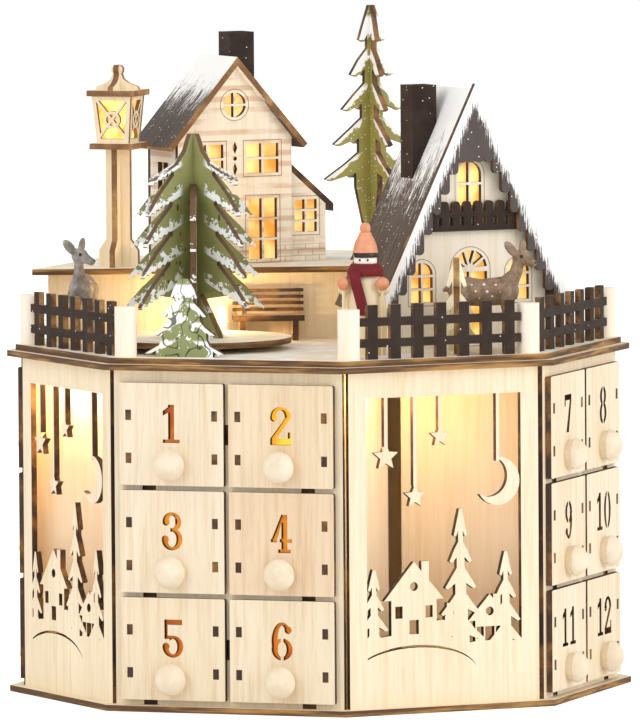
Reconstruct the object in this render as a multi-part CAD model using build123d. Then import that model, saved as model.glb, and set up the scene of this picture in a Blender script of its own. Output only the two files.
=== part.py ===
from build123d import *
import math
import os

# Wooden advent calendar. Origin at the centre of the base underside, +Z up, drawers 1 to 6 face -Y.
# All lengths are millimetres.

# Sheet stock and clearances
ply = 3.0              # every plywood sheet
joint_gap = 0.05       # round a tab in its slot, and between glued ends
slide_gap = 0.5        # beside and above a drawer box in its opening
run_gap = 0.3          # under a drawer box and behind its front

# Carcass
wall_height = 167.0    # between base plate and top plate
frame_face = 138.4     # axis to the outside of a face frame
frame_edge = 2.5       # face frame beyond the drawers on each side
scene_proud = 0.71     # scene panel outside the line between two face frames
scene_end_gap = 2.94   # scene panel end from the face frame beside it
frame_margin = 6.6     # plate edge outside a face frame
scene_margin = 6.0     # plate edge outside a scene panel
deck_inset = 4.0       # snow deck edge inside the plate edge
panel_tab = 14.0       # width of a wall tab through base and top plate
panel_tab_share = 0.3  # wall tab centre from the middle of the wall, as a share of its width

# Drawers
rows = 3
columns = 2
faces = 4
front_width = 54.9
front_radius = 0.8
column_gap = 2.6
row_gap = 2.5
bottom_margin = 2.8    # lowest fronts above the base plate
top_margin = 6.2       # highest fronts below the top plate
box_side = 3.3         # drawer box inside each end of its front
box_head = 3.1         # drawer box below the shelf above it
box_tab = 5.1          # height of a side tab through the front
box_tab_share = 0.226  # side tab centre from the middle of the side, as a share of its height
shelf_tab = 7.0        # width of a shelf tab in the face frame
shelf_tab_share = 0.38  # shelf tab centre from the middle of the shelf, as a share of its width
shelf_tab_depth = 2.0
divider_tab = 10.0     # height of a divider tab in the face frame
knob_diameter = 16.0
knob_neck = 13.0
knob_length = 10.0
knob_drop_share = 0.294  # knob centre below the front's middle, as a share of its height
rack_wall_gap = 2.0    # rack side wall inside the end of the face frame
rack_back_gap = 3.5    # rack back behind a closed drawer
core_gap = 5.2         # rack back from the side wall of the next rack

# Numbers cut through the fronts
number_height = 19.0
number_rise_share = 0.104  # number centre above the front's middle, as a share of its height
digit_width = 11.0
digit_pitch = 12.4
stroke = 3.2
hairline = 1.7
bridge = 1.4           # stencil bridge
ball = 1.9             # round stroke end

# Scene panel window
window_side = 9.7
window_head = 13.0
window_sill = 19.0

# Fences and posts on the deck
post_diameter = 11.0
post_height = 25.0
post_inset = 7.5       # post centre inside the deck edges
post_gather = 2.8      # front posts inside their corners
fence_height = 27.0
fence_outset = 1.5     # fence middle outside the line of posts
fence_rail = 4.2
fence_rail_low = 6.0
fence_rail_high = 16.5
picket_width = 5.6
picket_count = 7

# Raised platform at the back of the deck
platform_inset = 10.0  # platform wall inside the deck edge
platform_height = 34.0
platform_overhang = 5.5
platform_turn = 22.5   # degrees that the front wall is turned about Z
platform_back = 13.0   # front wall behind the axis
platform_end = 68.0    # right end wall from the axis
hatch_width = 70.0
hatch_height = 26.0

# Turning plate and its fir
turn_x = -41.0
turn_y = -72.0
turn_diameter = 97.0
turn_lift = 3.0        # plate underside above the deck
pin_diameter = 4.0
pin_gap = 0.05
bush_diameter = 8.0
bush_flange = 18.0
pin_reach = 9.0        # pin end below the deck
collar_diameter = 9.0
collar_height = 3.0
turning_fir_height = 102.0
turning_fir_width = 76.0   # width over the lowest tips
turning_fir_tiers = 5
turning_fir_top = 25.0     # first tips below the top
turning_fir_skirt = 0.8    # share of the height below the first tips that carries tiers
turning_fir_first = 0.79   # reach of the first tier as a share of the lowest one
turning_fir_turn = 19.0
turning_fir_foot = 38.0    # width of the spreading foot
turning_trunk = 10.8       # width of the trunk under the lowest tier
wing_share = 0.92          # reach of a wing as a share of the boards'
wing_shift = 2.0           # wing tips below the tips of the boards
wing_foot = 12.0           # foot of a wing from the tree's axis
bough_droop = 0.42         # fall of a bough as a share of its reach
bough_root = 0.5           # inner end of the cut between two boughs as a share of the reach
bough_cut = 1.6            # height of that cut at its inner end
bough_shoulder = 0.75      # where a bough's upper edge bends, as a share of the reach
bough_rise = 0.52          # height of a bough there as a share of the tier
bough_blunt = 1.6          # height of a tip
bough_teeth = 5
bough_ragged = 1.6         # depth of the teeth

# Other firs
tall_fir_x = 5.0
tall_fir_y = 70.0
tall_fir_height = 130.0
tall_fir_width = 54.0
tall_fir_tiers = 5
tall_fir_turn = 45.0
tall_fir_bare = 0.32   # share of the height below the lowest boughs
tall_fir_flare = 0.1   # share of the height over which the foot spreads
small_fir_x = 99.0
small_fir_y = -76.0
small_fir_height = 48.0
small_fir_width = 24.0
small_fir_tiers = 3
small_fir_turn = 19.0
front_fir_x = -26.0
front_fir_y = -128.0
front_fir_height = 39.0
front_fir_width = 42.0
front_fir_tiers = 4
front_fir_bare = 0.04
front_fir_notch = 0.72  # depth between boughs as a share of their reach
trunk_width = 6.0
tall_trunk_width = 8.0

# Rear house
house_x = -50.0
house_y = 16.0
house_turn = 45.0
house_width = 64.0
house_depth = 36.0
house_apex = 101.0
house_pitch = 49.0     # roof slope in degrees
house_half_span = 37.0
house_overhang = 4.0
lean_width = 20.5
lean_depth = 27.0
lean_high = 47.0
lean_low = 29.0
lean_overhang = 4.5
house_round_window = 6.3   # radius
house_round_rise = 81.0
house_window_across = 15.5
house_upper_width = 18.0
house_upper_height = 15.0
house_upper_sill = 46.0
house_lower_width = 16.0
house_lower_height = 31.0
house_lower_sill = 2.0
house_side_width = 12.0
house_side_height = 16.0
house_side_sill = 36.0
vent_width = 2.6
vent_height = 6.6
vent_dot = 1.1         # radius of the hole between two vents
vent_rise = 45.0
vent_span = 17.4       # height over both vents
lean_window_width = 12.5
lean_window_height = 16.5
lean_window_sill = 15.0
lean_window_share = 0.45   # window middle as a share of the lean-to's width
glazing_bar = 1.2
chimney_side = 13.5
house_chimney_x = 9.0
house_chimney_share = 0.45  # chimney place as a share of the house's depth
house_chimney_rise = 12.0
chimney_recess = 6.0
chimney_wall = 2.5

# Chalet
chalet_x = 89.6
chalet_y = -26.0
chalet_turn = 45.0
chalet_width = 84.0
chalet_depth = 46.0
chalet_apex = 123.0
chalet_pitch = 64.0
chalet_half_span = 50.6
chalet_overhang = 4.0
chalet_loft_width = 13.0
chalet_loft_height = 22.0
chalet_loft_sill = 71.0
chalet_door_width = 19.0
chalet_door_height = 46.5
chalet_door_sill = 2.0
chalet_window_width = 12.0
chalet_window_height = 20.0
chalet_window_sill = 23.0
chalet_window_across = 27.0
fascia_drop = 18.0     # fascia depth measured straight down
fascia_peak = 37.0     # depth of the board under its peak
fascia_crown = 2       # tongues of that depth on each side of the peak
fascia_foot = 0.42     # share of the depth below the board's lower corners
fascia_steps = 10
fascia_reach = 2.5     # fascia outside the roof
chalet_chimney_x = -15.5
chalet_chimney_y = 26.0
chalet_chimney_rise = 8.0  # chimney top above the ridge
balcony_width = 50.0
balcony_height = 13.0
balcony_floor = 58.5
balcony_pickets = 8
balcony_picket_share = 0.64  # picket width as a share of the pitch

# Street lamp
lamp_x = -101.1
lamp_y = -16.5
lamp_board = 13.0
lamp_foot = 21.0
lamp_foot_height = 14.0
lamp_height = 60.0
lantern_low = 17.0
lantern_high = 21.0
lantern_height = 24.0
lantern_sheet = 2.0
lantern_tray = 23.0
lantern_lid = 25.0
lantern_cap = 12.5
lantern_rim = 2.2
lantern_bar = 1.3
lantern_ring = 4.4     # outer radius of the ring in a side
lantern_ring_bore = 3.0

# Bench
bench_x = -25.2
bench_y = -5.0
bench_turn = 22.5
bench_length = 36.0
bench_depth = 13.0
bench_seat = 13.0
bench_back = 26.0
bench_slats = 4
bench_arch = 0.25      # radius of the arch in an end as a share of its depth

# Figures
doll_x = 56.0
doll_y = -90.0
doll_turn = 10.0
doll_body_height = 41.5
doll_body_radius = 10.6
doll_neck_radius = 4.8
doll_head_radius = 5.8
doll_hat_height = 12.8
doll_hat_band = 2.6
doll_bobble = 2.7
doll_hand = 3.4
doll_pole = 1.8
doll_arm = 3.4
scarf_thickness = 2.2
scarf_width = 5.4
scarf_tail = 20.0
scarf_shift = 2.0      # tail left of the doll's middle
scarf_gap = 0.3        # tail in front of the body
right_deer_x = 106.0
right_deer_y = -51.0
right_deer_turn = 20.0
left_deer_x = -104.0
left_deer_y = -64.0
left_deer_turn = -75.0
deer_height = 55.0

# Lamps, cells and switch
led_diameter = 5.0
led_length = 8.0
pocket_led_depth = 30.0   # scene pocket lamp behind the face frame
led_post_x = -45.0
led_post_y = -19.0
led_post_diameter = 6.5
led_post_height = 10.0
cell_diameter = 14.5
cell_length = 50.5
cell_gap = 0.4
holder_wall = 1.6
holder_y = 106.0
switch_body = 12.0
switch_travel = 3.5
slider_width = 3.0
slider_height = 2.0
slider_reach = 2.0
slider_gap = 0.15

# Levels and pitches that follow from the sizes above
column_pitch = front_width + column_gap
frame_width = columns * column_pitch + 2 * frame_edge
scene_face = (frame_face + frame_width / 2) / math.sqrt(2) + scene_proud   # axis to a scene panel's outside
scene_width = (frame_face - frame_width / 2) * math.sqrt(2) - 2 * scene_end_gap
window_width = scene_width - 2 * window_side
window_height = wall_height - window_sill - window_head
plate_flat = frame_face + frame_margin     # axis to plate edge on a drawer side
plate_diag = scene_face + scene_margin     # axis to plate edge on a scene side
wall_bottom = ply
wall_top = wall_bottom + wall_height
deck_bottom = wall_top + ply
deck_top = deck_bottom + ply
platform_top_bottom = deck_top + platform_height
platform_top_top = platform_top_bottom + ply
front_height = (wall_height - bottom_margin - top_margin - (rows - 1) * row_gap) / rows
row_pitch = front_height + row_gap
deck_flat = plate_flat - deck_inset
deck_diag = plate_diag - deck_inset
platform_flat = deck_flat - platform_inset
front_back = frame_face + run_gap          # axis to the back of a drawer front
frame_back = frame_face - ply
rack_half = frame_width / 2 - rack_wall_gap
rack_rear = rack_half + core_gap           # axis to the near side of a rack back
box_width = front_width - 2 * box_side
box_height = row_pitch - ply - box_head
box_depth = front_back - rack_back_gap - rack_rear
foot_up = (Align.CENTER, Align.CENTER, Align.MIN)    # round stock standing on its lower end


def rect(x0, x1, y0, y1):
    """Rectangle between two corners."""
    return Pos((x0 + x1) / 2, (y0 + y1) / 2) * Rectangle(x1 - x0, y1 - y0)


def polygon(*points):
    """Filled outline through the points."""
    return make_face(Polyline(*points, close=True))


def mirrored(points):
    """Outline whose right half is given from top to bottom, both ends on the Y axis."""
    return polygon(*points, *[(-x, y) for x, y in reversed(points) if x > 0])


def block(x0, x1, y0, y1, z0, z1):
    """Box between two corners."""
    return Pos((x0 + x1) / 2, (y0 + y1) / 2, (z0 + z1) / 2) * Box(x1 - x0, y1 - y0, z1 - z0)


def upright(sketch, distance, base, thickness=ply):
    """Sheet standing on base with its outside facing -Y at y = -distance, drawn as seen from outside."""
    plane = Plane(origin=(0, -distance, base), x_dir=(1, 0, 0), z_dir=(0, -1, 0))
    return extrude(plane * sketch, amount=-thickness)


def sideways(sketch, x, base, thickness=ply):
    """Sheet whose outside faces +X at x, drawn with its width along +Y."""
    plane = Plane(origin=(x, 0, base), x_dir=(0, 1, 0), z_dir=(1, 0, 0))
    return extrude(plane * sketch, amount=-thickness)


def flat(sketch, bottom, thickness=ply):
    """Sheet lying flat with its underside at bottom."""
    return extrude(Pos(0, 0, bottom) * sketch, amount=thickness)


def turned(*profile):
    """Round piece turned about the Z axis from a half profile of (radius, height) points."""
    return revolve(Plane.XZ * polygon(*profile), axis=Axis.Z)


def limb(start, end, radius_start, radius_end):
    """Tapered round limb between two points, with a ball at its far end."""
    reach = Vector(*end) - Vector(*start)
    place = Plane(origin=start, z_dir=reach)
    cone = place * Cone(radius_start, radius_end, reach.length, align=foot_up)
    return cone + Pos(*end) * Sphere(radius_end)


def octagon_points(flat_distance, diag_distance):
    """Corners of the eight-sided plan, counter-clockwise from the right side."""
    side = diag_distance * math.sqrt(2) - flat_distance
    quarter = [(flat_distance, -side), (flat_distance, side)]
    points = []
    for turn in range(4):
        cosine = round(math.cos(math.radians(90 * turn)))
        sine = round(math.sin(math.radians(90 * turn)))
        points += [(x * cosine - y * sine, x * sine + y * cosine) for x, y in quarter]
    return points


def clipped(points, normal, offset):
    """Part of a convex plan where the distance along the normal is at most the offset."""
    kept = []
    for (x0, y0), (x1, y1) in zip(points, points[1:] + points[:1]):
        d0 = x0 * normal[0] + y0 * normal[1] - offset
        d1 = x1 * normal[0] + y1 * normal[1] - offset
        if d0 <= 0:
            kept.append((x0, y0))
        if d0 * d1 < 0:
            share = d0 / (d0 - d1)
            kept.append((x0 + share * (x1 - x0), y0 + share * (y1 - y0)))
    return kept


def shrunk(points, distance):
    """Corners of a counter-clockwise plan moved inwards by one sheet."""
    lines = []
    for (x0, y0), (x1, y1) in zip(points, points[1:] + points[:1]):
        length = math.hypot(x1 - x0, y1 - y0)
        nx, ny = (y1 - y0) / length, -(x1 - x0) / length
        lines.append((nx, ny, nx * x0 + ny * y0 - distance))
    corners = []
    for (a, b, c), (d, e, f) in zip(lines[-1:] + lines[:-1], lines):
        det = a * e - b * d
        corners.append(((c * e - b * f) / det, (a * f - c * d) / det))
    return corners


def around(piece, start=0):
    """Four copies of a piece, a quarter turn apart about Z."""
    return [Rot(0, 0, start + 90 * turn) * piece for turn in range(faces)]


def without(piece, *others):
    """Piece with the others cut out of it."""
    for other in others:
        piece = piece - other
    return piece


def save(name, pieces):
    """Write one named part as a group of separate solids."""
    solids = [solid for piece in pieces for solid in piece.solids()]
    export_step(Compound(children=solids, label=name), os.path.join("parts", name + ".step"))


# Carcass plates and walls

def wall_tabs(width, y0, y1, gap=0):
    """The two tabs of a wall that pass through a plate, or their slots."""
    place = width * panel_tab_share
    half = panel_tab / 2 + gap
    return [rect(s * place - half, s * place + half, y0 - gap, y1 + gap) for s in (-1, 1)]


def plate_slots():
    """Slots in plan for the tabs of all eight walls."""
    slots = []
    for width, distance, start in ((frame_width, frame_face, 0), (scene_width, scene_face, 45)):
        for slot in wall_tabs(width, -distance, ply - distance, joint_gap):
            slots += around(slot, start)
    return slots


def base_plate():
    return flat(without(polygon(*octagon_points(plate_flat, plate_diag)), *plate_slots()), 0)


def bush_hole():
    return Pos(turn_x, turn_y) * Circle(bush_diameter / 2 + joint_gap)


def carcass_top():
    plan = without(polygon(*octagon_points(plate_flat, plate_diag)), *plate_slots(), bush_hole())
    return flat(plan, wall_top)


def snow_deck():
    plan = polygon(*octagon_points(deck_flat, deck_diag)) - bush_hole() - front_fir_slots()
    return flat(plan, deck_bottom)


def shelf_level(row):
    """Height of the shelf top that carries a row of drawers, counted from the bottom."""
    return wall_bottom + ply + row * row_pitch


def row_middle(row):
    """Height of the middle of a drawer front."""
    return wall_bottom + bottom_margin + front_height / 2 + row * row_pitch


def column_middle(column):
    return (column - (columns - 1) / 2) * column_pitch


def shelf_tab_middles():
    """Middles of a shelf's two tabs along the face."""
    place = 2 * (rack_half - ply) * shelf_tab_share
    return [-place, place]


def face_frame():
    """Front wall sheet of one drawer face, with openings, shelf notches and divider slots."""
    half = frame_width / 2
    sheet = rect(-half, half, 0, wall_height)
    sheet = sheet + wall_tabs(frame_width, -ply, 0) + wall_tabs(frame_width, wall_height, wall_height + ply)
    cuts = []
    tall = box_height + run_gap + slide_gap
    wide = box_width / 2 + slide_gap
    for row in range(rows):
        level = shelf_level(row) - wall_bottom
        for column in range(columns):
            middle = column_middle(column)
            cuts.append(rect(middle - wide, middle + wide, level, level + tall))
        notch = shelf_tab / 2 + joint_gap
        for middle in shelf_tab_middles():
            cuts.append(rect(middle - notch, middle + notch, level - ply - joint_gap, level + joint_gap))
    for row in (0, rows - 1):
        middle = row_middle(row) - wall_bottom
        slot = divider_tab / 2 + joint_gap
        cuts.append(rect(-ply / 2 - joint_gap, ply / 2 + joint_gap, middle - slot, middle + slot))
    return upright(without(sheet, *cuts), frame_face, wall_bottom)


def fir_outline(height, width, tiers, trunk, foot=0.12, notch=0.35):
    """Fir silhouette: tiers of drooping boughs, given as the right half from the top down."""
    step = height * (1 - foot) / tiers
    points = [(0, height), (trunk * 0.2, height)]
    for tier in range(tiers):
        reach = width / 2 * (tier + 1.5) / (tiers + 0.5)
        level = height - step * (tier + 1)
        inner = trunk / 2 * (0.6 + 0.4 * (tier + 1) / tiers)
        points.append(((reach + inner) / 2, level + step * 0.42))
        points.append((reach, level))
        root = max(inner, reach * notch)
        points.append((reach - min(trunk * 0.4, (reach - root) / 2), level - step * 0.06))
        points.append((root, level + step * 0.16))
        points.append((root, max(level - step * 0.25, 0)))
    points += [(trunk / 2, 0), (0, 0)]
    return points


def star(radius, points=5):
    """Plain pointed star."""
    corners = []
    for index in range(2 * points):
        reach = radius if index % 2 == 0 else radius * 0.45
        angle = math.radians(90 + 180 * index / points)
        corners.append((reach * math.cos(angle), reach * math.sin(angle)))
    return polygon(*corners)


def scene_cottage(width, height, roof):
    """Cottage silhouette with a door and two windows, standing on the X axis."""
    eave = width / 2 + 4
    walls = rect(-width / 2, width / 2, 0, height)
    gable = polygon((-eave, height), (eave, height), (0, height + roof))
    stack = rect(width / 4 - 2, width / 4 + 2, height, height + roof)
    door = rect(-2.6, 2.6, 2, 11)
    panes = [rect(s * width / 3 - 2, s * width / 3 + 2, height - 9, height - 3) for s in (-1, 1)]
    return without(walls + gable + stack, door, *panes, Pos(0, height + roof * 0.35) * Circle(2.2))


def scene_hare():
    """Sitting hare silhouette."""
    body = Ellipse(6, 4.4) + Pos(5, 5) * Circle(2.9) + Pos(-6, 0.5) * Circle(1.6)
    ears = [Pos(x, 9.5) * Rot(0, 0, tilt) * Ellipse(0.9, 3.4) for x, tilt in ((4.4, 12), (6.4, -10))]
    return body + ears


def scene_motif():
    """Winter village cut-out inside the window, drawn from the middle of its lower edge."""
    half = window_width / 2
    window = rect(-half, half, 0, window_height)
    ground = Pos(-20, 0) * Ellipse(46, 17) + Pos(26, 0) * Ellipse(40, 12)
    drift = Pos(-16, -3) * (Ellipse(34, 14.5) - Ellipse(34, 13.2))
    trees = [Pos(x, 4) * mirrored(fir_outline(window_height * share, wide, tiers, 3.4))
             for x, share, wide, tiers in ((9, 0.55, 27, 5), (34, 0.385, 21, 4), (-39, 0.34, 20, 4))]
    houses = [Pos(-17, 13) * scene_cottage(25, 21, 19), Pos(25, 8) * scene_cottage(16, 14, 13)]
    motif = ground + trees + houses + Pos(-2, 19) * scene_hare()
    moon = Circle(12) - Pos(-5, 2.5) * Circle(10.2)
    for x, share, shape, drop in ((-32, 0.18, star(7), 5), (-16, 0.33, star(6), 5), (-2, 0.12, star(5.5), 4),
                                  (30, 0.25, moon, 10)):
        level = window_height * (1 - share)
        motif = motif + rect(x - 0.9, x + 0.9, level, window_height) + Pos(x, level - drop) * shape
    return (motif - drift) & window


def scene_panel():
    """Cut-out sheet between two drawer faces."""
    half = scene_width / 2
    sheet = rect(-half, half, 0, wall_height)
    sheet = sheet + wall_tabs(scene_width, -ply, 0) + wall_tabs(scene_width, wall_height, wall_height + ply)
    window = rect(-window_width / 2, window_width / 2, window_sill, window_sill + window_height)
    return upright(sheet - window + Pos(0, window_sill) * scene_motif(), scene_face, wall_bottom)


# Rack behind each drawer face

def rack_walls():
    """Two side walls and the back of one rack."""
    sides = [block(min(x, x - s * ply), max(x, x - s * ply), -frame_back, -rack_rear, wall_bottom, wall_top)
             for s, x in ((-1, -rack_half), (1, rack_half))]
    inner = rack_half - ply
    back = block(-inner, inner, -rack_rear - ply, -rack_rear, wall_bottom, wall_top)
    return sides + [back]


def halving_line():
    """Depth at which shelves and divider are slotted into each other."""
    return -(frame_back + rack_rear + ply) / 2


def shelf(row):
    """Shelf under a row of drawers, with two tabs in the face frame."""
    inner = rack_half - ply
    plan = rect(-inner, inner, -frame_back, -rack_rear - ply)
    half = shelf_tab / 2
    for middle in shelf_tab_middles():
        plan = plan + rect(middle - half, middle + half, -frame_back - shelf_tab_depth, -frame_back)
    if row > 0:
        slot = ply / 2 + joint_gap
        plan = plan - rect(-slot, slot, halving_line(), -rack_rear - ply)
    return flat(plan, shelf_level(row) - ply)


def divider():
    """Upright between the two columns, slotted over the upper shelves, with tabs in the face frame."""
    low = shelf_level(0)
    profile = rect(-frame_back, -rack_rear - ply, low, wall_top)
    for row in (0, rows - 1):
        middle = row_middle(row)
        half = divider_tab / 2
        profile = profile + rect(-frame_back - shelf_tab_depth, -frame_back, middle - half, middle + half)
    for row in range(1, rows):
        level = shelf_level(row)
        profile = profile - rect(-frame_back, halving_line(), level - ply - joint_gap, level + joint_gap)
    return sideways(profile, ply / 2, 0)


# Drawers

def arc_ring(rise, wide, tall):
    """Oval stroke, thick at its sides and thin at top and bottom."""
    return Pos(0, rise) * (Ellipse(wide, tall) - Ellipse(wide - stroke, tall - hairline))


def digit(value):
    """One stencil digit about the origin, with bridges that hold its islands."""
    top = number_height / 2
    side = digit_width / 2
    low_bowl = top * 0.58
    high_bowl = top - low_bowl + hairline / 2
    low_middle = low_bowl - top
    high_middle = top - high_bowl
    slit = rect(-bridge / 2, bridge / 2, -2 * top, 2 * top)
    if value == 0:
        return arc_ring(0, side, top) - slit
    if value == 1:
        foot = side * 0.8
        stem = rect(-stroke / 2, stroke / 2, -top, top) + rect(-foot, foot, -top, hairline - top)
        return stem + polygon((0, top), (0, top - stroke), (-foot, top - 1.7 * stroke), (-foot, top - stroke))
    if value == 2:
        bowl = arc_ring(top - low_bowl, side, low_bowl) & rect(-side, side, top - low_bowl, top)
        sweep = polygon((side - stroke, top - low_bowl), (side, top - low_bowl),
                        (stroke - side, stroke - top), (-side, stroke - top))
        foot = rect(-side, side, -top, stroke - top) + rect(side - hairline, side, -top, 2 * stroke - top)
        return bowl + sweep + foot + Pos(ball - side, top - low_bowl) * Circle(ball)
    if value == 3:
        bowls = arc_ring(high_middle, side * 0.9, high_bowl) + arc_ring(low_middle, side, low_bowl)
        bowls = bowls - rect(-side, -hairline / 2, low_middle, high_middle)
        ends = [Pos(ball - side * 0.9, high_middle) * Circle(ball), Pos(ball - side, low_middle) * Circle(ball)]
        return bowls + ends
    if value == 4:
        stem = rect(0, stroke, -top, top) + rect(-hairline, stroke + hairline, -top, hairline - top)
        bar = rect(-side, side, -top * 0.45, hairline - top * 0.45)
        slope = polygon((0, top), (0, top - 1.3 * stroke), (stroke - side, -top * 0.4), (-side, -top * 0.4))
        return stem + bar + slope - rect(-bridge - hairline / 2, -hairline / 2, -top * 0.6, -top * 0.2)
    if value == 5:
        bowl = arc_ring(low_middle, side, low_bowl)
        bowl = bowl - rect(-side, -hairline, low_middle, top)
        neck = rect(-side * 0.8, 0, 2 * low_bowl - top - hairline, 2 * low_bowl - top)
        stem = rect(-side * 0.8, hairline - side * 0.8, 2 * low_bowl - top - hairline, top)
        flag = rect(-side * 0.8, side * 0.9, top - 0.8 * stroke, top)
        return bowl + neck + stem + flag + Pos(ball - side, low_middle) * Circle(ball)
    if value == 7:
        bar = top - 0.9 * stroke
        flag = rect(-side, side, bar, top) + rect(-side, hairline - side, top - 1.8 * stroke, top)
        leg = polygon((side, bar), (side - 0.8 * stroke, bar), (-stroke * 0.9, -top), (stroke * 0.4, -top))
        return flag + leg
    if value == 8:
        return arc_ring(high_middle, side * 0.9, high_bowl) + arc_ring(low_middle, side, low_bowl) - slit
    six = arc_ring(0, side, top) & (rect(-side, 0, low_middle, top) + rect(0, side, top * 0.6, top))
    six = six + arc_ring(low_middle, side, low_bowl) + Pos(side * 0.92 - ball, top * 0.6) * Circle(ball)
    six = six - rect(-bridge / 2, bridge / 2, -top, 2 * low_bowl - top)
    return six if value == 6 else Rot(0, 0, 180) * six


def number_cut(number):
    """All digits of a number, centred."""
    text = str(number)
    start = -(len(text) - 1) / 2 * digit_pitch
    return [Pos(start + index * digit_pitch, 0) * digit(int(figure)) for index, figure in enumerate(text)]


def box_side_tabs(low):
    """Heights of the two tab middles of a drawer side."""
    middle = low + box_height / 2
    place = box_height * box_tab_share
    return [middle - place, middle + place]


def drawer_front(number, row, column):
    """Numbered front with slots for the side tabs."""
    low = shelf_level(row) + run_gap
    sheet = Pos(0, row_middle(row)) * RectangleRounded(front_width, front_height, front_radius)
    rise = row_middle(row) + front_height * number_rise_share
    cuts = [Pos(0, rise) * figure for figure in number_cut(number)]
    for side in (-1, 1):
        middle = side * (box_width - ply) / 2
        for level in box_side_tabs(low):
            half_wide = ply / 2 + joint_gap
            half_tall = box_tab / 2 + joint_gap
            cuts.append(rect(middle - half_wide, middle + half_wide, level - half_tall, level + half_tall))
    sheet = Pos(column_middle(column), 0) * without(sheet, *cuts)
    return upright(sheet, front_back + ply, 0)


def drawer_box(row, column):
    """Two tabbed sides, bottom and back of one drawer."""
    middle = column_middle(column)
    low = shelf_level(row) + run_gap
    front = -front_back
    rear = front + box_depth
    profile = rect(front, rear, low, low + box_height)
    for level in box_side_tabs(low):
        profile = profile + rect(front - ply, front, level - box_tab / 2, level + box_tab / 2)
    inner = box_width / 2 - ply
    sides = [sideways(profile, middle - inner, 0), sideways(profile, middle + box_width / 2, 0)]
    bottom = block(middle - inner, middle + inner, front, rear - ply, low, low + ply)
    back = block(middle - inner, middle + inner, rear - ply, rear, low, low + box_height)
    return sides + [bottom, back]


def drawer_knob(row, column):
    """Turned mushroom knob: a flared neck under a ball-shaped head."""
    widest = knob_length * 0.4
    radius = knob_diameter / 2
    rise = knob_length - widest
    ball_radius = (radius ** 2 + rise ** 2) / (2 * rise)
    neck = Cone(knob_neck / 2, radius, widest, align=foot_up)
    head = Pos(0, 0, knob_length - ball_radius) * Sphere(ball_radius)
    head = head & block(-radius, radius, -radius, radius, widest, knob_length)
    level = row_middle(row) - front_height * knob_drop_share
    place = Plane(origin=(column_middle(column), -front_back - ply, level), z_dir=(0, -1, 0))
    return place * (neck + head)


def drawer(number):
    """All pieces of one drawer on its own face."""
    index = (number - 1) % (rows * columns)
    row = rows - 1 - index // columns
    column = index % columns
    face = (number - 1) // (rows * columns)
    pieces = [drawer_front(number, row, column), *drawer_box(row, column), drawer_knob(row, column)]
    return [Rot(0, 0, 90 * face) * piece for piece in pieces]


# Deck posts and fences

def post_centres():
    """Five posts: left, front left, front right, right front and right rear corners of the deck."""
    reach = deck_flat - post_inset
    side = (deck_diag - post_inset) * math.sqrt(2) - reach
    near = (side + post_gather, post_gather - reach)
    far = (reach - post_gather * 0.7, -side - post_gather)
    return [(-reach, -side), (post_gather - side, -reach), near, far, (reach, side)]


def fence_posts():
    post = Cylinder(post_diameter / 2, post_height, align=foot_up)
    return [Pos(x, y, deck_top) * post for x, y in post_centres()]


def fence_panel(start, end):
    """Picket fence between two posts, a little outside their middles."""
    span = math.hypot(end[0] - start[0], end[1] - start[1])
    reach = post_diameter / 2
    half = span / 2 - math.sqrt(reach ** 2 - (fence_outset - ply / 2) ** 2) - joint_gap
    sheet = rect(-half, half, fence_rail_low, fence_rail_low + fence_rail)
    sheet = sheet + rect(-half, half, fence_rail_high, fence_rail_high + fence_rail)
    pitch = 2 * half / picket_count
    for index in range(picket_count):
        middle = -half + pitch * (index + 0.5)
        sheet = sheet + rect(middle - picket_width / 2, middle + picket_width / 2, 0, fence_height)
    turn = math.degrees(math.atan2(end[1] - start[1], end[0] - start[0]))
    place = Pos((start[0] + end[0]) / 2, (start[1] + end[1]) / 2, deck_top) * Rot(0, 0, turn)
    return place * upright(sheet, fence_outset + ply / 2, 0)


def fence_panels():
    posts = post_centres()
    return [fence_panel(posts[0], posts[1]), fence_panel(posts[2], posts[3]), fence_panel(posts[3], posts[4])]


# Raised platform

def platform_plan(grow):
    """Plan of the platform: the eight-sided deck shape cut off at the slanting front and the right end."""
    normal = (math.sin(math.radians(platform_turn)), -math.cos(math.radians(platform_turn)))
    corners = octagon_points(platform_flat + grow, platform_flat + plate_diag - plate_flat + grow)
    return clipped(clipped(corners, normal, grow - platform_back), (1, 0), platform_end + grow)


def platform_walls():
    """Mitred walls round the platform, the rear one with a hatch for the cells."""
    outer = platform_plan(0)
    inner = shrunk(outer, ply)
    walls = []
    for index in range(len(outer)):
        following = (index + 1) % len(outer)
        plan = polygon(outer[index], outer[following], inner[following], inner[index])
        walls.append(flat(plan, deck_top, platform_height))
    half = hatch_width / 2
    rear = platform_flat
    hatch = block(-half, half, rear - 2 * ply, rear + ply, deck_top, deck_top + hatch_height)
    return [wall - hatch for wall in walls]


def platform_top():
    return flat(polygon(*platform_plan(platform_overhang)), platform_top_bottom)


# Firs of crossed boards

def crossed(outline, height):
    """Two boards slotted into each other at right angles: one from above, one from below."""
    slot = ply / 2 + joint_gap
    lower = mirrored(outline) - rect(-slot, slot, height / 2, height)
    upper = mirrored(outline) - rect(-slot, slot, 0, height / 2)
    return [upright(lower, ply / 2, 0), Rot(0, 0, 90) * upright(upper, ply / 2, 0)]


def tall_fir():
    outline = fir_outline(tall_fir_height, tall_fir_width, tall_fir_tiers, tall_trunk_width, tall_fir_bare)
    foot = [(tall_trunk_width / 2, tall_fir_height * tall_fir_flare), (tall_trunk_width * 1.5, 0), (0, 0)]
    outline = outline[:-2] + foot
    place = Pos(tall_fir_x, tall_fir_y, platform_top_top) * Rot(0, 0, tall_fir_turn)
    return [place * board for board in crossed(outline, tall_fir_height)]


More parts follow.
